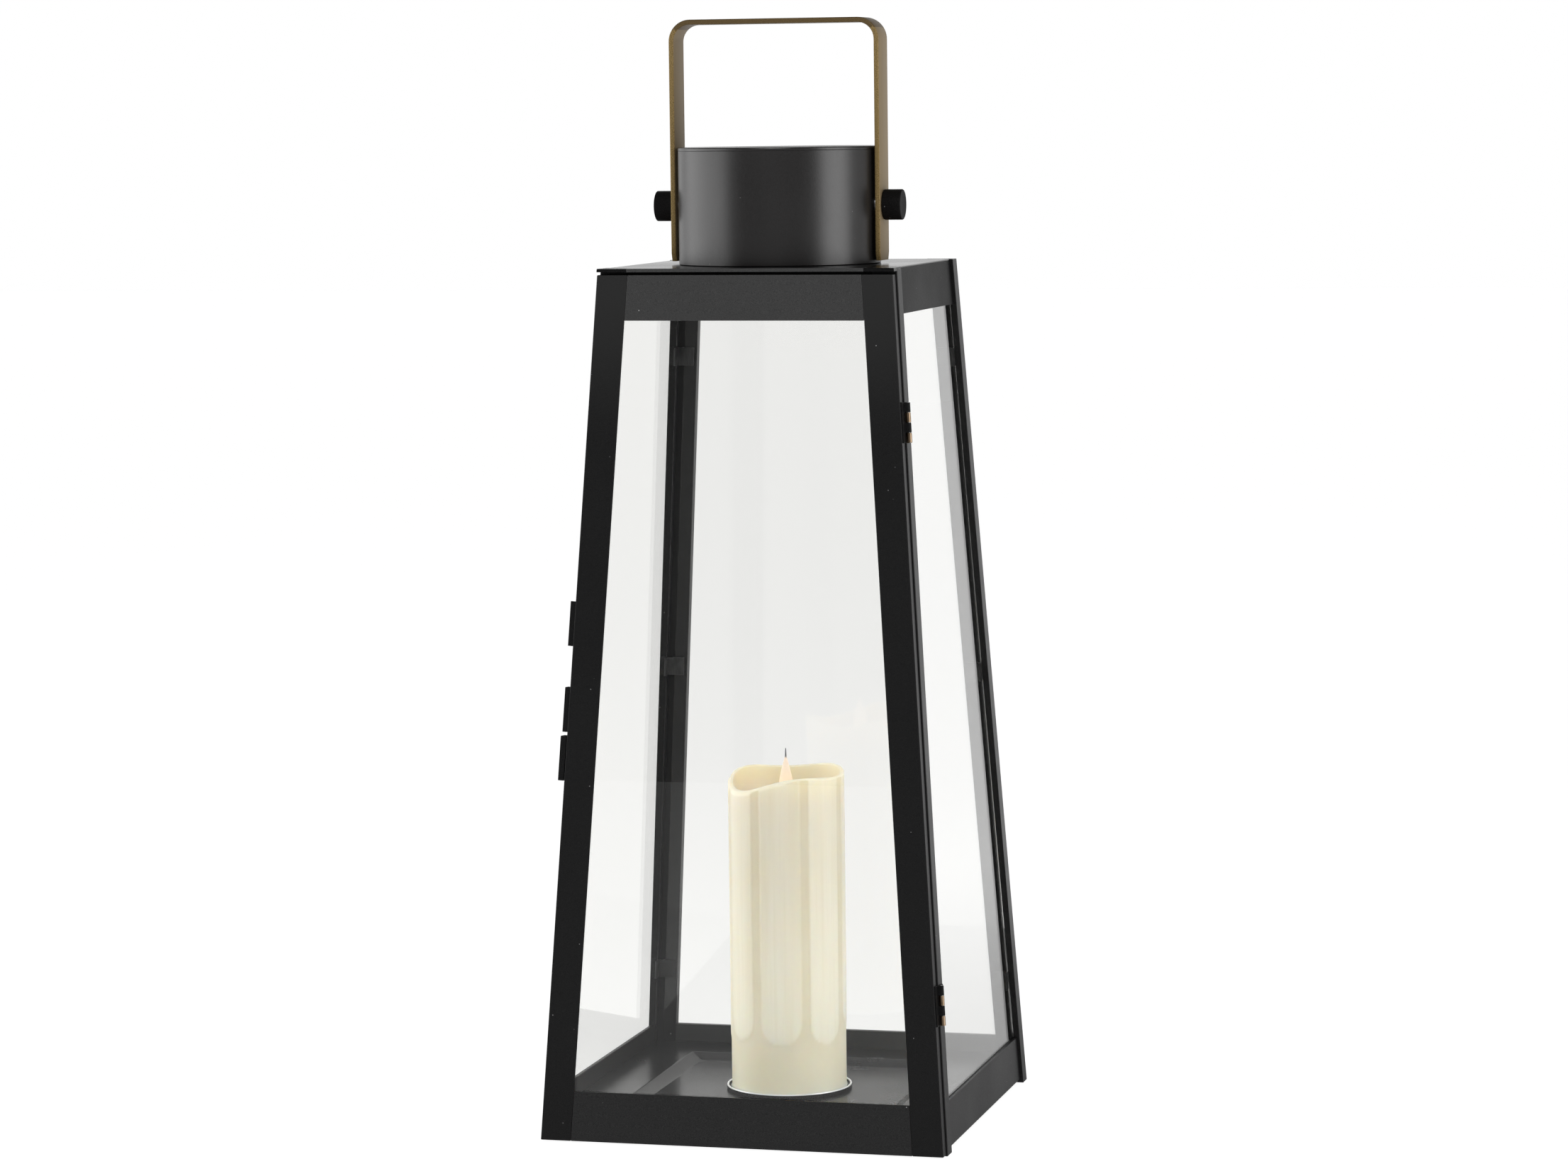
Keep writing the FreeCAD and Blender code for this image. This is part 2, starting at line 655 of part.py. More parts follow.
# ---- pivots of the handle --------------------------------------------------------------
washers = []
nuts = []
WASHER_RADIUS = 7.0
WASHER_OUTER = STRAP_HALF_WIDTH - STRAP_THICK - 0.3
NUT_OUTER = inner_radius - EDGE_BREAK
hexagon = [
    Vector(0, NUT_FLATS / math.sqrt(3) * math.cos(math.radians(60 * i)),
           PIVOT_Z + NUT_FLATS / math.sqrt(3) * math.sin(math.radians(60 * i)))
    for i in range(7)
]
for name, side in SIDES.items():
    flip = FreeCAD.Rotation(Vector(0, 0, 1), 0 if side > 0 else 180)
    turn = FreeCAD.Placement(Vector(), flip)
    head = axle(KNOB_RADIUS, KNOB_INNER, KNOB_OUTER, PIVOT_Z)
    head = head.makeChamfer(EDGE_BREAK, [e for e in head.Edges if len(e.Vertexes) == 1])
    shank = axle(BOLT_SHANK, NUT_OUTER - NUT_THICK - 2 * SHEET, KNOB_INNER + SHEET, PIVOT_Z)
    parts["pivot_knob_" + name] = placed(join([head, shank]), turn)
    washer = axle(WASHER_RADIUS, inner_radius, WASHER_OUTER, PIVOT_Z)
    washer = washer.cut(axle(BOLT_SHANK, inner_radius, WASHER_OUTER, PIVOT_Z))
    washers.append(placed(washer.cut(disc(CHIMNEY_RADIUS, ROOF_TOP, CHIMNEY_TOP)), turn))
    nut = Part.Face(Part.makePolygon(hexagon)).extrude(Vector(NUT_THICK, 0, 0))
    nut.translate(Vector(NUT_OUTER - NUT_THICK, 0, 0))
    nuts.append(placed(nut.cut(axle(BOLT_SHANK, 0, CHIMNEY_RADIUS, PIVOT_Z)), turn))
parts["pivot_washers"] = Part.makeCompound(washers)
parts["pivot_nuts"] = Part.makeCompound(nuts)

# ---- strap handle ------------------------------------------------------------------------


def arch(half, top, radius):
    """Block with its two upper corners rounded about Y."""
    block = box(-half, half, -STRAP_WIDTH / 2, STRAP_WIDTH / 2, STRAP_LOW, top)
    corners = [
        edge for edge in block.Edges
        if edge.CenterOfMass.z > top - EDGE_BREAK and abs(edge.CenterOfMass.x) > half - EDGE_BREAK
    ]
    return block.makeFillet(radius, corners)


strap = arch(STRAP_HALF_WIDTH, STRAP_TOP, STRAP_CORNER)
strap = strap.cut(arch(
    STRAP_HALF_WIDTH - STRAP_THICK, STRAP_TOP - STRAP_THICK, STRAP_CORNER - STRAP_THICK
))
leg_ends = [
    edge for edge in strap.Edges
    if edge.CenterOfMass.z < STRAP_LOW + EDGE_BREAK
    and abs(edge.CenterOfMass.y) > STRAP_WIDTH / 2 - EDGE_BREAK
]
strap = strap.makeFillet(STRAP_END_RADIUS, leg_ends)
parts["handle_strap"] = strap.cut(axle(STRAP_BORE, -CHIMNEY_TOP, CHIMNEY_TOP, PIVOT_Z))

# ---- candle cup ----------------------------------------------------------------------------
cup = disc(CUP_RADIUS, PAN_FLOOR, PAN_FLOOR + CUP_HEIGHT)
parts["candle_cup"] = cup.cut(
    disc(CUP_RADIUS - CUP_WALL, PAN_FLOOR + SHEET, PAN_FLOOR + CUP_HEIGHT)
)

# ---- candle: wax sleeve with a melted bowl and a slanting rim --------------------------------
wax = disc(CANDLE_RADIUS, CANDLE_BASE, CANDLE_RIM)
base_edges = [e for e in wax.Edges if abs(e.CenterOfMass.z - CANDLE_BASE) < SHEET / 2]
wax = wax.makeChamfer(EDGE_BREAK, base_edges)
cutter = box(-BASE_WIDTH, BASE_WIDTH, -BASE_WIDTH, BASE_WIDTH, 0, BASE_WIDTH)
cutter.rotate(Vector(), Vector(1, -1, 0), RIM_TILT)
cutter.translate(Vector(0, 0, CANDLE_RIM - CANDLE_RADIUS * math.sin(math.radians(RIM_TILT))))
wax = wax.cut(cutter)
bowl = disc(BOWL_RADIUS, BOWL_FLOOR, CANDLE_RIM + SHEET)
bowl_edges = [e for e in bowl.Edges if abs(e.CenterOfMass.z - BOWL_FLOOR) < SHEET / 2]
bowl = bowl.makeFillet(RIM_ROUND * 3, bowl_edges)
wax = wax.cut(bowl)
wax = wax.makeFillet(RIM_ROUND, [
    e for e in wax.Edges if e.CenterOfMass.z > CANDLE_RIM - 3 * RIM_ROUND and len(e.Vertexes) == 1
])
wax = wax.cut(disc(WAX_BORE, CANDLE_BASE, CORE_TOP))
flame_slot = box(-SLOT_X, SLOT_X, -SLOT_Y, SLOT_Y, CORE_TOP - 4 * SHEET, BOWL_FLOOR + SHEET)
parts["candle_wax"] = wax.cut(flame_slot)

# inner plastic body that carries the works
core = disc(CORE_RADIUS, CORE_BOTTOM, CORE_TOP)
core = core.cut(disc(CORE_RADIUS - CORE_WALL, CORE_BOTTOM + CORE_WALL, CORE_TOP - CORE_WALL))
core = core.cut(flame_slot)
core_floor = CORE_BOTTOM + CORE_WALL
hatch_hole = disc(HATCH_HOLE, CORE_BOTTOM, core_floor, HATCH_X)
switch_hole = box(SWITCH_X - SHEET, SWITCH_X + SWITCH_HOLE, -SWITCH_HOLE_HALF, SWITCH_HOLE_HALF,
                  CORE_BOTTOM, core_floor)
ears = []
for side in SIDES.values():
    near, far = sorted((side * (FLAME_HALF_WIDTH + EDGE_BREAK), side * (SLOT_X - EDGE_BREAK)))
    ear = box(near, far, -EAR_HALF, EAR_HALF, CORE_TOP - CORE_WALL, FLAME_PIVOT + EAR_HALF)
    near, far = sorted((side * (SLOT_X - SHEET), side * (SLOT_X + SHEET)))
    bridge = box(near, far, -EAR_HALF, EAR_HALF, CORE_TOP - CORE_WALL, CORE_TOP)
    ears.append(join([ear, bridge]))
wire = axle(WIRE_RADIUS, -SLOT_X + EDGE_BREAK, SLOT_X - EDGE_BREAK, FLAME_PIVOT)
core = join([core.cut(hatch_hole).cut(switch_hole)] + ears)
parts["candle_core"] = core.cut(wire)
parts["flame_wire"] = wire

# flame: flat teardrop blade with a stem that carries a magnet
tip = Vector(0, 0, FLAME_TIP)
blade_low = FLAME_PROFILE[0][1]
left_edge = Part.BSplineCurve()
left_edge.interpolate([Vector(-half, 0, z) for half, z in FLAME_PROFILE] + [tip])
right_edge = Part.BSplineCurve()
right_edge.interpolate([Vector(half, 0, z) for half, z in FLAME_PROFILE] + [tip])
foot = FLAME_PROFILE[0][0]
foot_line = Part.makeLine(Vector(foot, 0, blade_low), Vector(-foot, 0, blade_low))
rim = Part.sortEdges([left_edge.toShape(), right_edge.toShape(), foot_line])[0]
blade = Part.Face(Part.Wire(rim)).extrude(Vector(0, 2 * FLAME_HALF_THICK, 0))
blade.translate(Vector(0, -FLAME_HALF_THICK, 0))
stem = box(-foot, foot, -SHEET, SHEET, STEM_LOW, blade_low + SHEET)
parts["flame_blade"] = join([blade, stem]).cut(
    axle(WIRE_RADIUS + PIN_CLEARANCE, -SLOT_X, SLOT_X, FLAME_PIVOT)
)
parts["flame_magnet"] = disc(MAGNET_RADIUS, STEM_LOW - MAGNET_HEIGHT, STEM_LOW)

# works on a shelf inside the core: coil and lamp above, circuit board below
shelf_top = SHELF_LOW + SHELF_THICK
parts["works_shelf"] = disc(CORE_RADIUS - CORE_WALL, SHELF_LOW, shelf_top)
parts["flame_coil"] = ring(COIL_RADIUS, COIL_BORE, shelf_top, shelf_top + COIL_HEIGHT)
parts["circuit_board"] = box(-BOARD_HALF_X, BOARD_HALF_X, -BOARD_HALF_Y, BOARD_HALF_Y,
                             SHELF_LOW - BOARD_THICK, SHELF_LOW)
led = join([
    disc(LED_RADIUS, 0, LED_LENGTH), Part.makeSphere(LED_RADIUS, Vector(0, 0, LED_LENGTH)),
    disc(LED_FLANGE, 0, SHEET),
])
led_tilt = FreeCAD.Rotation(Vector(1, 0, 0), LED_TILT)
parts["led_lamp"] = placed(led, FreeCAD.Placement(Vector(0, LED_Y, LED_Z), led_tilt))
parts["led_bracket"] = box(-BRACKET_HALF_X, BRACKET_HALF_X, LED_Y - LED_FLANGE,
                           LED_Y + LED_RADIUS, shelf_top, LED_Z - SHEET * 1.4)

# cells held between contact strips in a ring-shaped carrier
cells = []
can_top = CELL_LOW + CELL_LENGTH - CELL_STUD
contact_top = CELL_LOW + CELL_LENGTH
for side in SIDES.values():
    can = disc(CELL_RADIUS, CELL_LOW, can_top, side * CELL_X)
    stud = disc(CELL_STUD_RADIUS, can_top, contact_top, side * CELL_X)
    cells.append(join([can, stud]))
parts["battery_cells"] = Part.makeCompound(cells)
contact_low = CELL_LOW - CONTACT_THICK
strips = [box(-STRIP_REACH, STRIP_REACH, -STRIP_HALF, STRIP_HALF,
              contact_top, contact_top + CONTACT_THICK)]
for side in SIDES.values():
    near, far = sorted((side * STRIP_INNER, side * STRIP_REACH))
    strips.append(box(near, far, -STRIP_HALF, STRIP_HALF, contact_low, CELL_LOW))
parts["battery_contacts"] = Part.makeCompound(strips)
carrier_outer = CORE_RADIUS - CORE_WALL
lid_low = contact_top + CONTACT_THICK
carrier = ring(carrier_outer, carrier_outer - CORE_WALL, contact_low, lid_low + CARRIER_LID)
parts["battery_carrier"] = join([carrier, disc(carrier_outer, lid_low, lid_low + CARRIER_LID)])

# hatch that twists off and the slide switch, both a little above the candle's base plane
hatch_top = CORE_BOTTOM - HATCH_GAP
hatch = disc(HATCH_RADIUS, HATCH_LOW, hatch_top, HATCH_X)
coin_slot = box(HATCH_X - COIN_SLOT, HATCH_X + COIN_SLOT, -COIN_SLOT_HALF, COIN_SLOT_HALF,
                HATCH_LOW, HATCH_LOW + SHEET)
hatch_plug = disc(HATCH_HOLE - HATCH_GAP, hatch_top, CORE_BOTTOM + 2 * SHEET, HATCH_X)
parts["battery_hatch"] = join([hatch.cut(coin_slot), hatch_plug])
flange_low = core_floor + HATCH_GAP
parts["switch_slider"] = join([
    box(SWITCH_X - SWITCH_HALF, SWITCH_X + SWITCH_HALF, -SHEET, SHEET, HATCH_LOW, flange_low),
    box(SWITCH_X - SWITCH_FLANGE, SWITCH_X + SWITCH_FLANGE, -SWITCH_FLANGE, SWITCH_FLANGE,
        flange_low, flange_low + SHEET),
])

os.makedirs("parts", exist_ok=True)
for name, shape in parts.items():
    shape.exportStep(os.path.join("parts", name + ".step"))
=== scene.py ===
import math

import bmesh
import bpy
from mathutils import Matrix, Vector


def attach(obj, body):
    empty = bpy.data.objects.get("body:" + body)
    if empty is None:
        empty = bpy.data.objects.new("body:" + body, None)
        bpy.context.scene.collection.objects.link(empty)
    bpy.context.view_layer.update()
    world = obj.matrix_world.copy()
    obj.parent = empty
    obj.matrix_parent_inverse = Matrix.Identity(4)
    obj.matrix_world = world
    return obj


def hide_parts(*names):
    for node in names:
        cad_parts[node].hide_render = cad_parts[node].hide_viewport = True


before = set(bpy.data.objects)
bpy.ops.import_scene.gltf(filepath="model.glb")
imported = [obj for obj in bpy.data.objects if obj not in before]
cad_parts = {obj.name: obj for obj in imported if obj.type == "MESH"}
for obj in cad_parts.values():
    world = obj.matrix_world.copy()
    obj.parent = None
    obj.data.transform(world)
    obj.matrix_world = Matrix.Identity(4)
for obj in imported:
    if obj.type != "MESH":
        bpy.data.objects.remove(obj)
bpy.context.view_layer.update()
MM = 0.001


# ---------------------------------------------------------------- material helpers
class Nodes:
    """A node tree. Values that are sockets are linked, the rest are set."""

    def __init__(self, tree):
        self.tree = tree
        self.tree.nodes.clear()

    def add(self, kind, inputs=None, **settings):
        node = self.tree.nodes.new(kind)
        for key, value in settings.items():
            setattr(node, key, value)
        for key, value in (inputs or {}).items():
            if isinstance(value, bpy.types.NodeSocket):
                self.tree.links.new(value, node.inputs[key])
            else:
                node.inputs[key].default_value = value
        return node

    def span(self, value, low, high, to_low=0.0, to_high=1.0, smooth=False):
        return self.add("ShaderNodeMapRange", {
            "Value": value, "From Min": low, "From Max": high, "To Min": to_low, "To Max": to_high,
        }, interpolation_type="SMOOTHSTEP" if smooth else "LINEAR").outputs["Result"]

    def math(self, operation, a, b=0.0):
        return self.add("ShaderNodeMath", {0: a, 1: b}, operation=operation).outputs[0]

    def mix(self, factor, a, b, blend="MIX"):
        node = self.add("ShaderNodeMix", data_type="RGBA", blend_type=blend)
        for key, value in ((0, factor), (6, a), (7, b)):
            if isinstance(value, bpy.types.NodeSocket):
                self.tree.links.new(value, node.inputs[key])
            else:
                node.inputs[key].default_value = value
        return node.outputs[2]

    def along(self, vector, direction):
        """How far a vector reaches along a direction."""
        return self.add("ShaderNodeVectorMath", {0: vector, 1: direction},
                        operation="DOT_PRODUCT").outputs["Value"]


class Look(Nodes):
    """A material's nodes, with the place on the piece as texture coordinates."""

    def __init__(self, name):
        self.mat = bpy.data.materials.new(name)
        self.mat.use_nodes = True
        super().__init__(self.mat.node_tree)
        self.place = self.add("ShaderNodeTexCoord").outputs["Object"]

    def height(self):
        return self.add("ShaderNodeSeparateXYZ", {0: self.place}).outputs[2]

    def stretch(self, x, y, z):
        return self.add("ShaderNodeMapping", {"Vector": self.place, "Scale": (x, y, z)}).outputs[0]

    def noise(self, scale, detail=2.0, vector=None):
        return self.add("ShaderNodeTexNoise", {
            "Vector": vector or self.place, "Scale": scale, "Detail": detail, "Roughness": 0.5,
        }).outputs["Fac"]

    def spots(self, scale):
        cells = self.add("ShaderNodeTexVoronoi", {"Vector": self.place, "Scale": scale})
        return cells.outputs["Distance"]

    def bump(self, height, distance, strength=1.0, normal=None):
        inputs = {"Height": height, "Distance": distance, "Strength": strength}
        if normal:
            inputs["Normal"] = normal
        return self.add("ShaderNodeBump", inputs).outputs[0]

    def attribute(self, name):
        return self.add("ShaderNodeAttribute", attribute_name=name).outputs["Fac"]

    def principled(self, inputs):
        return self.add("ShaderNodeBsdfPrincipled", inputs)

    def finish(self, shader):
        output = self.add("ShaderNodeOutputMaterial")
        self.tree.links.new(shader.outputs[0], output.inputs["Surface"])
        return self.mat


def rgb(r, g, b):
    return (r, g, b, 1.0)


def grey(level):
    return rgb(level, level, level)


FINE_GRAIN = 2600.0
DUST_COLOUR = grey(0.45)
PAINTED_LIGHT_FROM, PAINTED_LIGHT_TO = 0.44, 0.545


def coat(name, dark, light, rough, grain=1.0, specular=0.5, painted_top_shading=None):
    """Satin black powder coat: fine leathery grain, pale specks and faint hazy handling marks.

    With a top colour the coat turns to it towards the lantern's top edge: painted light, a lighter
    top where more light falls."""
    look = Look(name)
    fine = look.noise(FINE_GRAIN, 1.0)
    mottle = look.noise(900.0, 2.0)
    haze = look.noise(14.0, 3.0)
    speck = look.span(look.spots(150.0), 0.065, 0.035)
    scatter = look.span(look.noise(60.0, 2.0), 0.56, 0.68)
    specks = look.math("MULTIPLY", speck, scatter)
    colour = look.mix(look.span(fine, 0.35, 0.65), dark, light)
    # Painted light: the colour lightens towards the top edge.
    if painted_top_shading:
        top = look.span(look.height(), PAINTED_LIGHT_FROM, PAINTED_LIGHT_TO, smooth=True)
        colour = look.mix(top, colour, painted_top_shading)
    colour = look.mix(specks, colour, DUST_COLOUR)
    shine = look.math("ADD", look.span(haze, 0.3, 0.7, rough - 0.03, rough + 0.04),
                      look.span(mottle, 0.3, 0.7, -0.03 * grain, 0.03 * grain))
    leather = look.bump(mottle, 0.00006, 0.35 * grain)
    grainy = look.bump(fine, 0.00003, 0.5 * grain, leather)
    return look.finish(look.principled({
        "Base Color": colour, "Roughness": shine, "Normal": grainy, "Specular IOR Level": specular,
    }))


def metal(name, dark, light, rough, metallic=1.0):
    """Brushed metal with upright streaks and small dark pits."""
    look = Look(name)
    streak = look.noise(1.0, 2.0, look.stretch(2400, 2400, 30))
    broad = look.noise(26.0, 3.0)
    pits = look.span(look.spots(700.0), 0.10, 0.03)
    colour = look.mix(look.span(streak, 0.3, 0.7), dark, light)
    colour = look.mix(look.math("MULTIPLY", pits, look.span(broad, 0.45, 0.65)), colour, dark)
    shine = look.span(streak, 0.2, 0.8, rough - 0.06, rough + 0.08)
    return look.finish(look.principled({
        "Base Color": colour, "Roughness": shine, "Metallic": metallic,
        "Normal": look.bump(streak, 0.00002, 0.4),
    }))


def plastic(name, dark, light, rough=0.4):
    """Moulded plastic: faint flow marks and a fine texture."""
    look = Look(name)
    flow = look.noise(40.0, 3.0)
    fine = look.noise(1800.0, 1.0)
    return look.finish(look.principled({
        "Base Color": look.mix(flow, dark, light),
        "Roughness": look.span(fine, 0.3, 0.7, rough - 0.05, rough + 0.06),
        "Normal": look.bump(fine, 0.00003, 0.3),
    }))


def glass(name, ior):
    """Clear float glass that lets lamps through, with a few faint smears."""
    look = Look(name)
    smear = look.noise(9.0, 3.0)
    body = look.principled({
        "Base Color": rgb(0.97, 0.97, 0.96), "Roughness": look.span(smear, 0.55, 0.8, 0.0, 0.012),
        "Transmission Weight": 1.0, "IOR": ior,
    })
    clear = look.add("ShaderNodeBsdfTransparent", {"Color": rgb(0.93, 0.94, 0.935)})
    lamp = look.add("ShaderNodeLightPath").outputs["Is Shadow Ray"]
    return look.finish(look.add("ShaderNodeMixShader", {0: lamp, 1: body.outputs[0],
                                                        2: clear.outputs[0]}))


def strap_metal():
    """Antique bronze strap: brushed skin, grainy golden edges, and painted shade: a darker run
    across the top.
    """
    look = Look("strap_bronze")
    streak = look.noise(1.0, 3.0, look.stretch(40, 2600, 40))
    cloud = look.noise(38.0, 4.0)
    grain = look.noise(2000.0, 1.0)
    edge = look.attribute("edge_face")
    painted_top_shading = look.attribute("painted_shade_face")
    skin = look.mix(look.span(streak, 0.3, 0.7), rgb(0.20, 0.145, 0.078), rgb(0.28, 0.21, 0.115))
    skin = look.mix(look.span(cloud, 0.3, 0.7, 0.0, 0.35), skin, rgb(0.23, 0.18, 0.12))
    side = look.mix(look.span(grain, 0.35, 0.65), rgb(0.14, 0.095, 0.035), rgb(0.34, 0.24, 0.105))
    colour = look.mix(edge, skin, side)
    # Painted shade: the top run of the bow is darker than the legs.
    colour = look.mix(painted_top_shading, colour, rgb(0.085, 0.058, 0.03))
    return look.finish(look.principled({
        "Base Color": colour, "Metallic": 0.2, "Specular IOR Level": 0.05,
        "Roughness": look.span(streak, 0.2, 0.8, 0.38, 0.52),
        "Normal": look.bump(streak, 0.00003, 0.35, look.bump(grain, 0.00002, 0.3)),
    }))


def wax_look():
    """Ivory paraffin: soft, a little waxy shine, yellower between the runs, and paler at the foot,
    which is painted light.
    """
    look = Look("wax_ivory")
    flow = look.noise(1.0, 3.0, look.stretch(90, 90, 6))
    fine_flow = look.noise(1.0, 2.0, look.stretch(420, 420, 9))
    cloud = look.noise(30.0, 3.0)
    groove = look.attribute("groove")
    bowl = look.attribute("bowl")
    colour = look.mix(look.span(flow, 0.3, 0.7), rgb(0.67, 0.62, 0.485), rgb(0.72, 0.68, 0.575))
    colour = look.mix(look.span(fine_flow, 0.5, 0.7, 0.0, 0.5), colour, rgb(0.655, 0.61, 0.475))
    colour = look.mix(groove, colour, rgb(0.615, 0.56, 0.415))
    colour = look.mix(look.span(cloud, 0.35, 0.65, 0.0, 0.35), colour, rgb(0.70, 0.655, 0.545))
    colour = look.mix(bowl, colour, rgb(0.66, 0.60, 0.47))
    # Painted light: towards the foot the colour is made up to 1.3 times paler, standing in for
    # light the lower candle lacks.
    foot = look.span(look.height(), 0.016, 0.17, 1.30, 1.0)
    colour = look.mix(1.0, colour, foot, "MULTIPLY")
    return look.finish(look.principled({
        "Base Color": colour, "Roughness": look.span(flow, 0.3, 0.7, 0.36, 0.48),
        "Subsurface Weight": 0.8, "Subsurface Radius": (1.0, 0.75, 0.45),
        "Subsurface Scale": 0.012, "Specular IOR Level": 0.25,
        "Normal": look.bump(fine_flow, 0.0001, 0.25, look.bump(cloud, 0.0003, 0.15)),
    }))


def flame_look():
    """Frosted plastic lit from below: warm body and a thin grey point."""
    look = Look("flame_plastic")
    height = look.height()
    tip = look.span(height, 0.2325, 0.2345, smooth=True)
    rise = look.span(height, 0.214, 0.234)
    grain = look.noise(900.0, 2.0)
    warm = look.mix(rise, rgb(0.98, 0.76, 0.48), rgb(0.80, 0.66, 0.55))
    colour = look.mix(tip, rgb(0.30, 0.25, 0.20), rgb(0.12, 0.13, 0.15))
    glow = look.mix(tip, look.mix(look.span(grain, 0.3, 0.7, 0.0, 0.06), warm, rgb(1, 1, 1)),
                    rgb(0.0, 0.0, 0.0))
    return look.finish(look.principled({
        "Base Color": colour, "Roughness": look.span(grain, 0.3, 0.7, 0.42, 0.55),
        "Emission Color": glow, "Emission Strength": 0.84, "Subsurface Weight": 0.3,
        "Subsurface Radius": (1.0, 0.8, 0.5), "Subsurface Scale": 0.001,
    }))


BLACK = rgb(0.0045, 0.0045, 0.005)
BLACK_LIGHT = grey(0.012)
FLOAT_GLASS_IOR = 1.5
# The left pane, which mirrors less in the photo.
WEAK_MIRROR_IOR = 1.16
# Each coat: dark and light colour, roughness, grain, specular level and the colour at the top,
# which is painted light.
COATS = {
    # The front coat turns lighter at the top of the stiles: painted light.
    "coat_front": (BLACK, BLACK_LIGHT, 0.36, 1.0, 0.22, grey(0.021)),
    # A lighter copy of the black coat, for the door's bottom rail: painted light.
    "coat_foot_painted_light": (rgb(0.012, 0.012, 0.0125), grey(0.028), 0.36, 1.0, 0.22),
    # A lighter copy of the black coat, for the door's top rail and the roof's front faces: painted
    # light.
    "coat_rail": (grey(0.022), grey(0.048), 0.42, 1.0, 0.45),
    "coat_roof": (BLACK, BLACK_LIGHT, 0.18, 0.5, 0.07),
    "coat_side": (BLACK, BLACK_LIGHT, 0.42, 0.7, 0.11),
    "coat_post": (BLACK, BLACK_LIGHT, 0.34, 0.6, 0.22),
    "coat_inner": (grey(0.008), grey(0.016), 0.22, 0.3, 0.06),
    "coat_rail_side": (BLACK, BLACK_LIGHT, 0.42, 0.7, 0.32),
    # A lighter copy of the black coat, for the rear bottom rail seen through the glass: painted
    # light.
    "coat_rear_painted_light": (grey(0.03), grey(0.054), 0.3, 0.6, 0.1),
    "coat_side_low": (BLACK, BLACK_LIGHT, 0.42, 0.7, 0.05),
    "coat_post_side": (BLACK, BLACK_LIGHT, 0.40, 0.7, 0.3),
    "coat_side_top": (BLACK, BLACK_LIGHT, 0.42, 0.7, 0.012),
    "coat_pan": (BLACK, grey(0.014), 0.24, 0.10, 0.165),
    "coat_chimney": (rgb(0.004, 0.003, 0.003), rgb(0.009, 0.0075, 0.0075), 0.34, 0.9, 0.82),
    "coat_knob": (grey(0.006), rgb(0.013, 0.012, 0.012), 0.4, 0.5, 0.012),
}
LOOKS = {name: coat(name, *values) for name, values in COATS.items()}
LOOKS.update({
    "glass": glass("glass_clear", FLOAT_GLASS_IOR),
    "glass_coated": glass("glass_coated", WEAK_MIRROR_IOR),
    "clip": metal("clip_steel", grey(0.012), grey(0.03), 0.35, metallic=0.0),
    "plated": metal("plated_steel", rgb(0.45, 0.45, 0.46), rgb(0.66, 0.66, 0.67), 0.3),
    "brass": metal("hinge_brass", rgb(0.26, 0.18, 0.11), rgb(0.52, 0.38, 0.26), 0.28),
    "strap": strap_metal(),
    "wax": wax_look(),
    "flame": flame_look(),
    "white": plastic("plastic_white", rgb(0.70, 0.69, 0.65), rgb(0.78, 0.77, 0.73)),
    "black": plastic("plastic_black", rgb(0.015, 0.015, 0.016), rgb(0.03, 0.03, 0.03)),
    "copper": metal("coil_copper", rgb(0.45, 0.18, 0.09), rgb(0.72, 0.36, 0.2), 0.3),
    "board": plastic("board_green", rgb(0.01, 0.10, 0.04), rgb(0.02, 0.17, 0.07)),
    "resin": plastic("lamp_resin", rgb(0.85, 0.72, 0.45), rgb(0.95, 0.84, 0.58), 0.15),
    "cell": metal("cell_can", rgb(0.05, 0.05, 0.055), rgb(0.09, 0.09, 0.1), 0.35),
    "magnet": metal("magnet_nickel", rgb(0.5, 0.5, 0.52), rgb(0.72, 0.72, 0.74), 0.18),
    # The cup's rim: metal whose near-white colour is a painted highlight.
    "rim": metal("cup_rim_painted_highlight", grey(0.88), grey(0.96), 0.34, metallic=0.6),
})


# ---------------------------------------------------------------- mesh helpers
def link(mesh, name, look, body):
    piece = bpy.data.objects.new(name, mesh)
    bpy.context.scene.collection.objects.link(piece)
    mesh.materials.append(LOOKS[look])
    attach(piece, body)
    return piece


def smooth(mesh, angle=35.0):
    mesh.polygons.foreach_set("use_smooth", [True] * len(mesh.polygons))
    mesh.set_sharp_from_angle(angle=math.radians(angle))


def soften(node, look, body, radius, steps=2, crease=25.0):
    """A piece with the CAD node's shape, its edges rounded as by a coat of paint."""
    name = "looks_" + node
    source = bmesh.new()
    source.from_mesh(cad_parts[node].data)
    bmesh.ops.remove_doubles(source, verts=source.verts, dist=0.002 * MM)
    bmesh.ops.dissolve_limit(source, angle_limit=math.radians(0.6), verts=source.verts,
                             edges=source.edges)
    mesh = bpy.data.meshes.new(name)
    source.to_mesh(mesh)
    source.free()
    smooth(mesh, crease + 10.0)
    piece = link(mesh, name, look, body)
    bevel = piece.modifiers.new("soft_edges", "BEVEL")
    bevel.width = radius * MM
    bevel.segments = steps
    bevel.limit_method = "ANGLE"
    bevel.angle_limit = math.radians(crease)
    bevel.harden_normals = True
    bevel.use_clamp_overlap = True
    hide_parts(node)
    return piece


def paint(piece, look, chosen):
    """Gives another material to those faces of a piece for which chosen(face) holds."""
    piece.data.materials.append(LOOKS[look])
    for face in piece.data.polygons:
        if chosen(face):
            face.material_index = len(piece.data.materials) - 1


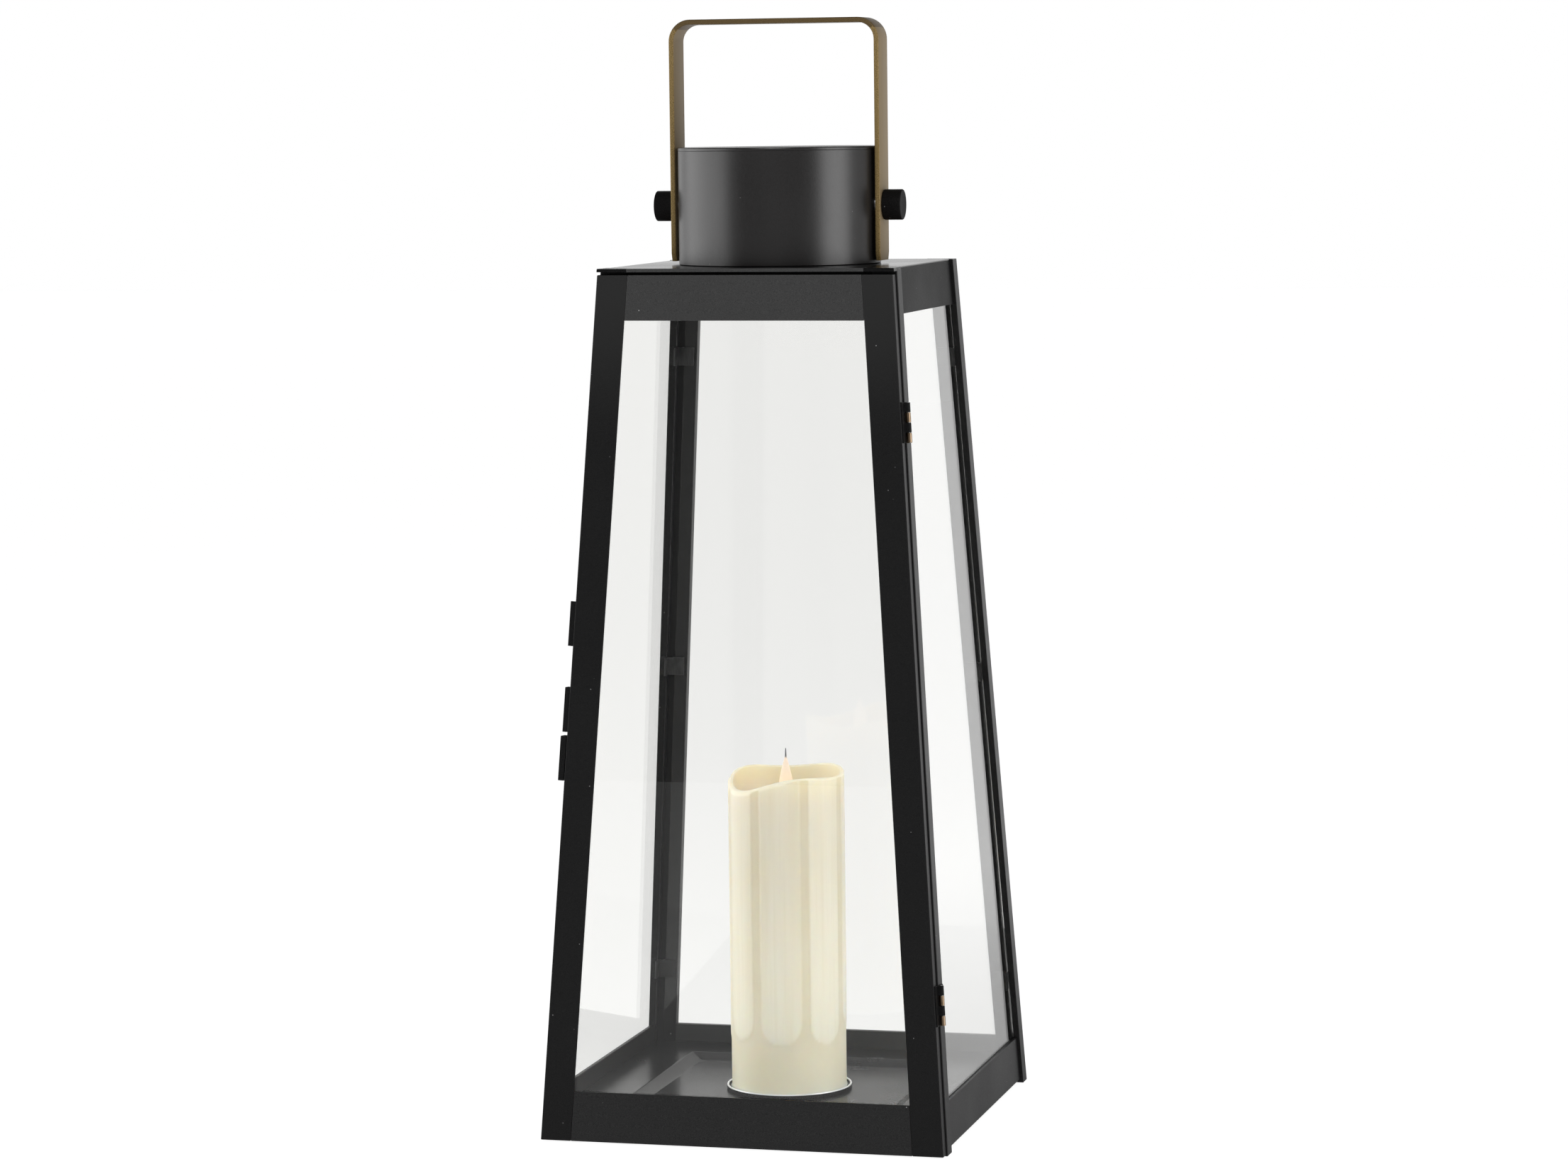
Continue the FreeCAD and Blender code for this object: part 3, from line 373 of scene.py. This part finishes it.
def lathe(name, profile, look, body, axis=None, count=160):
    """Closed solid of revolution about Z; profile is (radius, height) in millimetres."""
    work = bmesh.new()
    rings = []
    for radius, height in profile:
        if radius < 1e-6:
            rings.append([work.verts.new((0, 0, height * MM))])
            continue
        rings.append([
            work.verts.new((radius * MM * math.cos(math.tau * i / count),
                            radius * MM * math.sin(math.tau * i / count), height * MM))
            for i in range(count)
        ])
    pairs = list(zip(rings, rings[1:]))
    if len(rings[0]) > 1:
        pairs.append((rings[-1], rings[0]))
    for low, high in pairs:
        for i in range(count):
            j = (i + 1) % count
            corners = [low[i % len(low)], low[j % len(low)], high[j % len(high)],
                       high[i % len(high)]]
            unique = [v for k, v in enumerate(corners) if v not in corners[:k]]
            if len(unique) > 2:
                work.faces.new(unique)
    bmesh.ops.recalc_face_normals(work, faces=work.faces)
    mesh = bpy.data.meshes.new(name)
    work.to_mesh(mesh)
    work.free()
    if axis:
        mesh.transform(axis)
    smooth(mesh)
    return link(mesh, name, look, body)


def rounded(points, radius, steps=4):
    """Profile with its inner corners rounded by quarter arcs of the given radius."""
    result = [points[0]]
    for before, corner, after in zip(points, points[1:], points[2:]):
        corner_v = Vector(corner)
        back = Vector(before) - corner_v
        ahead = Vector(after) - corner_v
        reach = min(radius, back.length * 0.45, ahead.length * 0.45)
        start = corner_v + back.normalized() * reach
        end = corner_v + ahead.normalized() * reach
        for k in range(steps + 1):
            t = k / steps
            a = start.lerp(corner_v, t)
            b = corner_v.lerp(end, t)
            result.append(tuple(a.lerp(b, t)))
    result.append(points[-1])
    return result


# ---------------------------------------------------------------- body and door
def sideways(face):
    return abs(face.normal.x) > 0.7


def forwards(face):
    return face.normal.y < -0.5


def upright(face):
    return abs(face.normal.z) < 0.5


# Pieces that take one coat: (nodes, look, body, rounding of the edges in mm, steps).
COATED = (
    (("door_stile_left",), "coat_front", "door", 0.5, 2),
    (("door_rail_top",), "coat_rail", "door", 0.5, 2),
    (("door_rail_bottom",), "coat_foot_painted_light", "door", 0.5, 2),
    (("door_pull", "latch_guide", "hinge_door_leaf_upper", "hinge_door_leaf_lower"), "coat_side",
     "door", 0.2, 2),
    (("latch_bolt",), "coat_side", "latch_bolt", 0.15, 2),
    (("bottom_rail_left", "bottom_rail_right"), "coat_rail_side", "frame", 0.4, 2),
    (("latch_keeper",), "coat_side", "frame", 0.4, 2),
    (("bottom_rail_rear",), "coat_rear_painted_light", "frame", 0.4, 2),
    (("front_header", "front_sill"), "coat_inner", "frame", 0.4, 2),
    (("top_rail_left", "top_rail_right", "top_rail_rear"), "coat_side_top", "frame", 0.4, 2),
    (("front_tab_left", "front_tab_right"), "coat_roof", "frame", 0.3, 2),
)
for nodes, look, body, radius, steps in COATED:
    for node in nodes:
        soften(node, look, body, radius, steps)

stile = soften("door_stile_right", "coat_front", "door", 0.5)
paint(stile, "coat_post_side", lambda face: face.normal.x > 0.7)
for corner in ("front_left", "front_right", "rear_left", "rear_right"):
    post = soften("post_" + corner, "coat_post", "frame", 0.7, 3)
    paint(post, "coat_post_side", sideways)
    if corner.startswith("rear"):
        paint(post, "coat_inner", lambda face: not sideways(face) and face.normal.y < -0.3)
roof = soften("roof_plate", "coat_roof", "frame", 0.3)
# The roof's front faces take the lighter rail coat: painted light.
paint(roof, "coat_rail", lambda face: upright(face) and forwards(face))
paint(roof, "coat_side_low", lambda face: upright(face) and not forwards(face))
soften("floor_pan", "coat_pan", "frame", 0.6, 3, crease=8.0)

for node, look, body in (("glass_right", "glass", "frame"), ("glass_rear", "glass", "frame"),
                         ("glass_left", "glass_coated", "frame"), ("door_glass", "glass", "door")):
    soften(node, look, body, 0.3, 1)
for node, body in (("glass_clips_front", "frame"), ("glass_clips_rear", "frame"),
                   ("door_glass_clips", "door")):
    soften(node, "clip", body, 0.15, 1)

KNUCKLE = 3.4
for end in ("upper", "lower"):
    leaf = soften("hinge_post_leaf_" + end, "coat_side", "frame", 0.2, 2)
    pin = [v.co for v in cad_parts["hinge_pin_" + end].data.vertices]
    axis_x = (min(p.x for p in pin) + max(p.x for p in pin)) / 2
    axis_y = (min(p.y for p in pin) + max(p.y for p in pin)) / 2
    corners = leaf.data.vertices
    paint(leaf, "brass", lambda face: max(
        math.hypot(corners[v].co.x - axis_x, corners[v].co.y - axis_y) for v in face.vertices
    ) < KNUCKLE * MM)

# ---------------------------------------------------------------- chimney
CHIMNEY_RADIUS = 65.1
CHIMNEY_WALL = 1.2
SHELL_TOP = 627.5
ROOF_TOP = 554.5
CAP_TOP = 629.7
SPIGOT = 4
inner = CHIMNEY_RADIUS - CHIMNEY_WALL
shell = lathe("looks_chimney_shell", [
    (inner, ROOF_TOP), (CHIMNEY_RADIUS - 0.6, ROOF_TOP), (CHIMNEY_RADIUS, ROOF_TOP + 0.6),
    (CHIMNEY_RADIUS, ROOF_TOP + 20), (CHIMNEY_RADIUS, ROOF_TOP + 50),
    (CHIMNEY_RADIUS, SHELL_TOP), (inner, SHELL_TOP),
], "coat_chimney", "frame", count=224)
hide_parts("chimney_shell")
cap = lathe("looks_chimney_cap", [(0.0, SHELL_TOP)] + rounded([
    (inner - CHIMNEY_WALL, SHELL_TOP), (inner - CHIMNEY_WALL, SHELL_TOP - SPIGOT),
    (inner, SHELL_TOP - SPIGOT), (inner, SHELL_TOP), (CHIMNEY_RADIUS, SHELL_TOP),
    (CHIMNEY_RADIUS, CAP_TOP), (CHIMNEY_RADIUS * 0.5, CAP_TOP)], 1.3, 5) + [(0.0, CAP_TOP)],
    "coat_chimney", "frame", count=224)
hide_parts("chimney_cap")

# ---------------------------------------------------------------- handle and its knobs
PIVOT = 592.0
SHANK = 3.05
SHANK_END = 56.3
KNOB = 9.8
KNOB_BACK, KNOB_FACE = 69.7, 81.8
for name, side in (("left", -1), ("right", 1)):
    turn = Matrix.Translation((0, 0, PIVOT * MM)) @ Matrix.Rotation(math.radians(90 * side), 4, "Y")
    profile = [(0.0, SHANK_END)] + rounded([
        (SHANK, SHANK_END), (SHANK, KNOB_BACK), (KNOB, KNOB_BACK), (KNOB, KNOB_FACE),
        (KNOB - 3.0, KNOB_FACE - 0.1),
    ], 0.8, 4) + [(0.0, KNOB_FACE - 0.2)]
    knob = lathe("looks_pivot_knob_" + name, profile, "coat_knob", "frame", turn, 72)
    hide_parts("pivot_knob_" + name)

# The last entry gives the height above which the strap's top run gets painted shade.
STRAP = {"half": 69.4, "top": 711.5, "low": 556.6, "thick": 3.2, "width": 25.0, "corner": 14.0,
         "edge": 0.7, "foot_corner": 2.0, "painted_shade_from": 705}


def strap_path():
    """Centre line of the strap in XZ as (point, outward normal), from left foot to right foot."""
    half = STRAP["half"] - STRAP["thick"] / 2
    top = STRAP["top"] - STRAP["thick"] / 2
    radius = STRAP["corner"] - STRAP["thick"] / 2
    path = []
    legs = 28
    for k in range(legs + 1):
        z = STRAP["low"] + (top - radius - STRAP["low"]) * k / legs
        path.append(((-half, z), (-1.0, 0.0)))
    bend = 14
    for k in range(1, bend + 1):
        a = math.pi - math.pi / 2 * k / bend
        path.append(((-half + radius + radius * math.cos(a), top - radius + radius * math.sin(a)),
                     (math.cos(a), math.sin(a))))
    run = 20
    for k in range(1, run):
        path.append(((-half + radius + 2 * (half - radius) * k / run, top), (0.0, 1.0)))
    mirrored = [((-p[0], p[1]), (-n[0], n[1])) for p, n in path[:legs + bend + 1]]
    return path + mirrored[::-1]


def make_strap():
    """Flat bar with softly rounded edges, swept round the bow."""
    half_width = STRAP["width"] / 2
    half_thick = STRAP["thick"] / 2
    edge = STRAP["edge"]
    outline = []
    for y_sign, n_sign, start in ((1, 1, 0), (-1, 1, 90), (-1, -1, 180), (1, -1, 270)):
        for k in range(4):
            a = math.radians(start + 90 * k / 3)
            outline.append((y_sign * (half_width - edge) + edge * math.cos(a),
                            n_sign * (half_thick - edge) + edge * math.sin(a)))
    work = bmesh.new()
    rings = []
    foot = STRAP["foot_corner"]
    for (px, pz), (nx, nz) in strap_path():
        rise = pz - STRAP["low"]
        trim = 0.0
        if rise < foot and abs(nx) > 0.99:
            trim = foot - math.sqrt(max(foot ** 2 - (foot - rise) ** 2, 0.0))
        ring = []
        for y, n in outline:
            y_here = math.copysign(max(abs(y) - trim, 0.0), y)
            ring.append(work.verts.new(((px + nx * n) * MM, y_here * MM, (pz + nz * n) * MM)))
        rings.append(ring)
    count = len(outline)
    for low, high in zip(rings, rings[1:]):
        for i in range(count):
            j = (i + 1) % count
            work.faces.new((low[i], low[j], high[j], high[i]))
    work.faces.new(rings[0])
    work.faces.new(rings[-1][::-1])
    bmesh.ops.recalc_face_normals(work, faces=work.faces)
    mesh = bpy.data.meshes.new("looks_handle_strap")
    work.to_mesh(mesh)
    work.free()
    top_run = STRAP["painted_shade_from"] * MM
    edges = [float(abs(face.normal.y) > 0.35) for face in mesh.polygons]
    # Faces of the top run are marked for painted shade.
    painted_top_shading = [0.75 * float(face.center.z > top_run) for face in mesh.polygons]
    for name, values in (("edge_face", edges), ("painted_shade_face", painted_top_shading)):
        mesh.attributes.new(name, "FLOAT", "FACE").data.foreach_set("value", values)
    smooth(mesh, 40)
    return link(mesh, "looks_handle_strap", "strap", "handle")


strap = make_strap()
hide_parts("handle_strap")

# ---------------------------------------------------------------- cup
CUP = 41.0
CUP_WALL = 1.4
CUP_LOW, CUP_FLOOR, CUP_TOP = 15.0, 16.0, 18.2
# Above this height the rim is metal with a near-white colour, a painted highlight of the rim's
# edge.
CUP_HIGHLIGHT_FROM = 17.55
cup = lathe("looks_candle_cup", [(0.0, CUP_LOW)] + rounded([
    (CUP - 0.5, CUP_LOW), (CUP, CUP_LOW + 0.4), (CUP, CUP_TOP - 0.2)], 0.2, 2)[:-1] + [
    (CUP, CUP_TOP - 0.6), (CUP - 0.2, CUP_TOP - 0.1), (CUP - 0.5, CUP_TOP),
    (CUP - 1.0, CUP_TOP), (CUP - 1.3, CUP_TOP - 0.2), (CUP - CUP_WALL, CUP_TOP - 0.6),
    (CUP - CUP_WALL, CUP_FLOOR + 0.2), (CUP - 1.8, CUP_FLOOR), (0.0, CUP_FLOOR),
], "coat_pan", "frame", count=160)
# Painted highlight: the rim's top faces take the near-white metal.
paint(cup, "rim", lambda face: face.center.z > CUP_HIGHLIGHT_FROM * MM)
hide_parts("candle_cup")

# ---------------------------------------------------------------- candle
AZ = math.radians(14.694)
CANDLE = 38.1
BASE = 16.3
HOLLOW, HOLLOW_TOP = 30.0, 198.0
BOWL_FLOOR = 207.5
SLOT_X, SLOT_Y = 7.5, 4.5
INNER_LIP = 1.2
THICK_LIP_AT = -62
WALL_INSET, RUN_STANDS, SWELL = 0.45, 0.42, 0.12
CANDLE_STEPS, WALL_STEPS = 320, 110
# The rim's mean height, then its waves: (size in mm, bearing of a crest in degrees).
RIM_TERMS = ((222.3, 0.0), (3.77, 124.8), (1.86, 32.7), (2.1, -0.2))


def bearing(psi):
    """Angle about +Z of a bearing counted from the side the door faces, a little to the right."""
    return AZ - math.pi / 2 + psi


def rim_height(psi):
    """Height of the candle's rim: lowest at the front left, highest at the right and behind."""
    total = RIM_TERMS[0][0]
    for order, (size, phase) in enumerate(RIM_TERMS[1:], 1):
        total += size * math.cos(order * (psi - math.radians(phase)))
    return total


# Wax runs down the wall: (bearing and half width in degrees, height of the lobe's centre in mm).
RUNS = ((-55.0, 18.5, 63.0), (-7.5, 21.5, 63.5), (41.0, 20.0, 62.0), (88.0, 19.0, 70.0),
        (131.0, 17.0, 58.0), (176.0, 20.0, 66.0), (222.0, 18.0, 76.0), (264.0, 16.0, 60.0))


def run_depth(psi, z):
    """How much of a wax run stands on the wall here, 0 to 1; each run ends in a round lobe."""
    best = 0.0
    for centre, half, foot in RUNS:
        off = math.degrees((psi - math.radians(centre) + math.pi) % math.tau - math.pi)
        x = off / half
        width_mm = math.radians(half) * CANDLE
        y = (z - foot) / width_mm
        distance = abs(x) if y > 0 else math.hypot(x, y)
        best = max(best, min(max((1.0 - distance) / 0.10, 0.0), 1.0))
    return best * best * (3 - 2 * best)


def make_candle():
    """Wax sleeve: wall with long runs, a wavy rounded rim, a melted bowl and the flame's slot."""
    count = CANDLE_STEPS
    work = bmesh.new()
    groove = work.verts.layers.float.new("groove")
    inside = work.verts.layers.float.new("bowl")
    columns = []
    for i in range(count):
        psi = math.tau * i / count
        theta = bearing(psi)
        cos_t, sin_t = math.cos(theta), math.sin(theta)
        rim = rim_height(psi)
        lip = 1.3 + 1.2 * max(0.0, math.cos(psi - math.radians(THICK_LIP_AT))) ** 3
        points = []

        def put(radius, z, g=0.0, b=0.0):
            vert = work.verts.new((radius * cos_t * MM, radius * sin_t * MM, z * MM))
            vert[groove] = g
            vert[inside] = b
            points.append(vert)

        put(HOLLOW, BASE)
        put(CANDLE - 0.8, BASE)
        put(CANDLE - 0.2, BASE + 0.25)
        put(CANDLE, BASE + 0.9)
        low, high = BASE + 2.0, rim - lip
        for k in range(WALL_STEPS + 1):
            z = low + (high - low) * k / WALL_STEPS
            run = run_depth(psi, z)
            fade = min((z - low) / 30.0, 1.0)
            swell = SWELL * math.sin(3 * psi + z * 0.021) * fade
            tint = 0.75 + 0.25 * min(max((z - 50.0) / 14.0, 0.0), 1.0)
            put(CANDLE - WALL_INSET + RUN_STANDS * run + swell * 0.6 - 0.1, z, (1 - run) * tint)
        for k in range(1, 9):
            a = math.pi / 2 * k / 8
            put(CANDLE - 0.5 - lip + lip * math.cos(a), rim - lip + lip * math.sin(a), 0.0,
                k / 16)
        start = CANDLE - 0.5 - lip
        for k in range(1, 7):
            a = math.pi / 2 * k / 6
            put(start - INNER_LIP * math.sin(a), rim - INNER_LIP + INNER_LIP * math.cos(a), 0.0,
                0.5 + k / 12)
        wall_in = start - INNER_LIP
        bowl_r = wall_in - 5.5
        for k in range(1, 10):
            a = math.pi / 2 * k / 9
            z = (rim - INNER_LIP) + (BOWL_FLOOR - (rim - INNER_LIP)) * math.sin(a)
            put(wall_in + (bowl_r - wall_in) * (1 - math.cos(a)), z, 0.0, 1.0)
        slot_r = (abs(cos_t / SLOT_X) ** 5 + abs(sin_t / SLOT_Y) ** 5) ** (-1 / 5)
        for k in range(1, 12):
            t = k / 11
            radius = bowl_r + (slot_r + 0.8 - bowl_r) * t
            ripple = 0.25 * math.sin(5 * psi) * t * (1 - t)
            put(radius, BOWL_FLOOR - 0.6 * math.sin(math.pi * t) + ripple, 0.0, 1.0)
        put(slot_r + 0.2, BOWL_FLOOR - 0.25, 0.0, 1.0)
        put(slot_r, BOWL_FLOOR - 0.9, 0.0, 1.0)
        put(slot_r, HOLLOW_TOP, 0.0, 1.0)
        put(HOLLOW, HOLLOW_TOP)
        columns.append(points)
    size = len(columns[0])
    for i in range(count):
        a, b = columns[i], columns[(i + 1) % count]
        for k in range(size):
            j = (k + 1) % size
            work.faces.new((a[k], b[k], b[j], a[j]))
    bmesh.ops.recalc_face_normals(work, faces=work.faces)
    mesh = bpy.data.meshes.new("looks_candle_wax")
    work.to_mesh(mesh)
    work.free()
    smooth(mesh, 50)
    return link(mesh, "looks_candle_wax", "wax", "candle")


wax = make_candle()
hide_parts("candle_wax")

# Half width and height of the flame's leaf and of its stem, in millimetres.
FLAME = ((1.6, 200.6), (2.6, 203.5), (3.6, 206.0), (4.4, 209.5), (4.9, 213.5), (4.7, 216.5),
         (4.3, 219.5), (3.6, 222.8), (2.8, 226.0), (2.0, 229.0), (1.25, 231.6), (0.65, 233.6),
         (0.5, 235.2), (0.42, 237.4), (0.3, 239.4))
STEM = ((1.55, 180.0), (1.55, 200.0))
STEM_THICK, LEAF_THICK = 0.95, 1.55


def make_flame():
    """Thin leaf with a lens-shaped section, drawn out to a needle, on a flat stem."""
    work = bmesh.new()
    count = 20
    rings = []
    for half, z in STEM + FLAME:
        flat = (half, z) in STEM
        thick = STEM_THICK if flat else min(LEAF_THICK, max(half * 0.42, 0.2))
        ring = []
        for i in range(count):
            a = math.tau * i / count
            if flat:
                x = half * max(-1.0, min(1.0, 1.4 * math.cos(a)))
                y = thick * max(-1.0, min(1.0, 1.4 * math.sin(a)))
            else:
                x = half * math.cos(a)
                y = thick * math.sin(a) * (0.6 + 0.4 * abs(math.sin(a)))
            ring.append(work.verts.new((x * MM, y * MM, z * MM)))
        rings.append(ring)
    for low, high in zip(rings, rings[1:]):
        for i in range(count):
            j = (i + 1) % count
            work.faces.new((low[i], low[j], high[j], high[i]))
    work.faces.new(rings[0])
    work.faces.new(rings[-1][::-1])
    bmesh.ops.recalc_face_normals(work, faces=work.faces)
    mesh = bpy.data.meshes.new("looks_flame_blade")
    work.to_mesh(mesh)
    work.free()
    smooth(mesh, 60)
    return link(mesh, "looks_flame_blade", "flame", "flame")


flame = make_flame()
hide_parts("flame_blade")

# ---------------------------------------------------------------- carried-over CAD nodes
KEPT = {
    "plated": ("hinge_pin_upper", "hinge_pin_lower", "pivot_washers", "pivot_nuts", "flame_wire",
               "battery_contacts"),
    "white": ("candle_core", "works_shelf", "led_bracket", "battery_hatch"),
    "black": ("battery_carrier", "switch_slider"),
    "copper": ("flame_coil",), "board": ("circuit_board",), "resin": ("led_lamp",),
    "cell": ("battery_cells",), "magnet": ("flame_magnet",),
}
for look, nodes in KEPT.items():
    for node in nodes:
        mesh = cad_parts[node].data
        mesh.materials.clear()
        mesh.materials.append(LOOKS[look])

# ---------------------------------------------------------------- floor, light and camera
floor_mesh = bpy.data.meshes.new("floor")
work = bmesh.new()
bmesh.ops.create_grid(work, x_segments=8, y_segments=8, size=14.0)
work.to_mesh(floor_mesh)
work.free()
floor = bpy.data.objects.new("floor", floor_mesh)
bpy.context.scene.collection.objects.link(floor)
WHITE = 0.93
NEAR_FLOOR = 0.32
AWAY = (-math.sin(AZ), math.cos(AZ), 0.0)
pale = Look("floor_pale")
path = pale.add("ShaderNodeLightPath").outputs
depth = pale.along(pale.place, AWAY)
# Seen in a gloss, the floor is dimmer under the lantern and in front of it.
glossy = pale.math("SUBTRACT", path["Is Glossy Ray"], path["Is Transmission Ray"])
dim = pale.span(depth, 0.0, 1.2, NEAR_FLOOR, WHITE, smooth=True)
lit = pale.math("MAXIMUM", dim, pale.math("MULTIPLY", pale.math("SUBTRACT", 1.0, glossy), WHITE))
# Mirrored in a pane and seen through another, it is dimmer in front of the lantern only.
mirrored = pale.math("MULTIPLY", path["Is Transmission Ray"],
                     pale.math("LESS_THAN", path["Diffuse Depth"], 0.5))
loss = pale.math("MULTIPLY", mirrored, pale.span(depth, -0.6, -0.05, 0.8, 0.0))
lit = pale.math("MULTIPLY", lit, pale.math("SUBTRACT", 1.0, loss))
floor_mesh.materials.append(pale.finish(pale.principled({
    "Base Color": pale.mix(pale.noise(3.0), grey(0.24), grey(0.26)),
    "Roughness": 0.8, "Specular IOR Level": 0.1,
    "Emission Color": rgb(1, 1, 1), "Emission Strength": lit,
})))

# The camera sees white all round. Reflections see a white backdrop behind the lantern and a
# dark room in front of it, and rays through the glass see a wider backdrop.
world = bpy.data.worlds.new("studio")
bpy.context.scene.world = world
world.use_nodes = True
studio = Nodes(world.node_tree)
facing = studio.along(studio.add("ShaderNodeTexCoord").outputs["Generated"], AWAY)
backdrop = studio.span(facing, 0.66, 0.84, 0.09, 1.0)
behind = studio.span(facing, -0.1, 0.3, 0.1, 1.0)
path = studio.add("ShaderNodeLightPath").outputs
scattered = studio.math("GREATER_THAN", path["Diffuse Depth"], 0.5)
through = studio.math("MULTIPLY", path["Is Transmission Ray"],
                      studio.math("MAXIMUM", behind, scattered))
seen = studio.math("MAXIMUM", path["Is Camera Ray"], through)
sky = studio.add("ShaderNodeBackground", {
    "Color": rgb(1, 1, 1), "Strength": studio.math("MAXIMUM", backdrop, seen),
})
studio.add("ShaderNodeOutputWorld", {"Surface": sky.outputs[0]})


def softbox(name, place, target, width, height, power_w):
    light = bpy.data.lights.new(name, "AREA")
    light.shape = "RECTANGLE"
    light.size = width
    light.size_y = height
    light.energy = power_w
    lamp = bpy.data.objects.new(name, light)
    lamp.location = place
    lamp.rotation_euler = (Vector(target) - Vector(place)).to_track_quat("-Z", "Y").to_euler()
    lamp.visible_camera = False
    bpy.context.scene.collection.objects.link(lamp)


softbox("left_box", (-1.87, -0.32, 0.70), (0, 0, 0.4), 2.6, 1.4, 20)
softbox("right_box", (1.80, -0.30, 0.75), (0, 0, 0.4), 1.2, 1.5, 15)
softbox("front_box", (0.3, -2.4, 2.2), (0, 0, 0.3), 1.2, 1.2, 26)

FOCAL_PX = 6691.5
IMAGE_WIDTH = 2212
SENSOR = 36.0
PITCH = math.radians(5.735)
ROLL = math.radians(-0.683)
CAMERA_PLACE = (0.7775, -2.9652, 0.6520)
camera_data = bpy.data.cameras.new("camera")
camera_data.sensor_width = SENSOR
camera_data.lens = FOCAL_PX * SENSOR / IMAGE_WIDTH
camera = bpy.data.objects.new("camera", camera_data)
bpy.context.scene.collection.objects.link(camera)
ahead = Vector((-math.sin(AZ) * math.cos(PITCH), math.cos(AZ) * math.cos(PITCH), -math.sin(PITCH)))
level_right = Vector((math.cos(AZ), math.sin(AZ), 0.0))
level_up = level_right.cross(ahead)
right = math.cos(ROLL) * level_right + math.sin(ROLL) * level_up
up = -math.sin(ROLL) * level_right + math.cos(ROLL) * level_up
pose = Matrix((right, up, -ahead)).transposed().to_4x4()
pose.translation = Vector(CAMERA_PLACE)
camera.matrix_world = pose
bpy.context.scene.camera = camera
bpy.context.scene.view_settings.view_transform = "Standard"
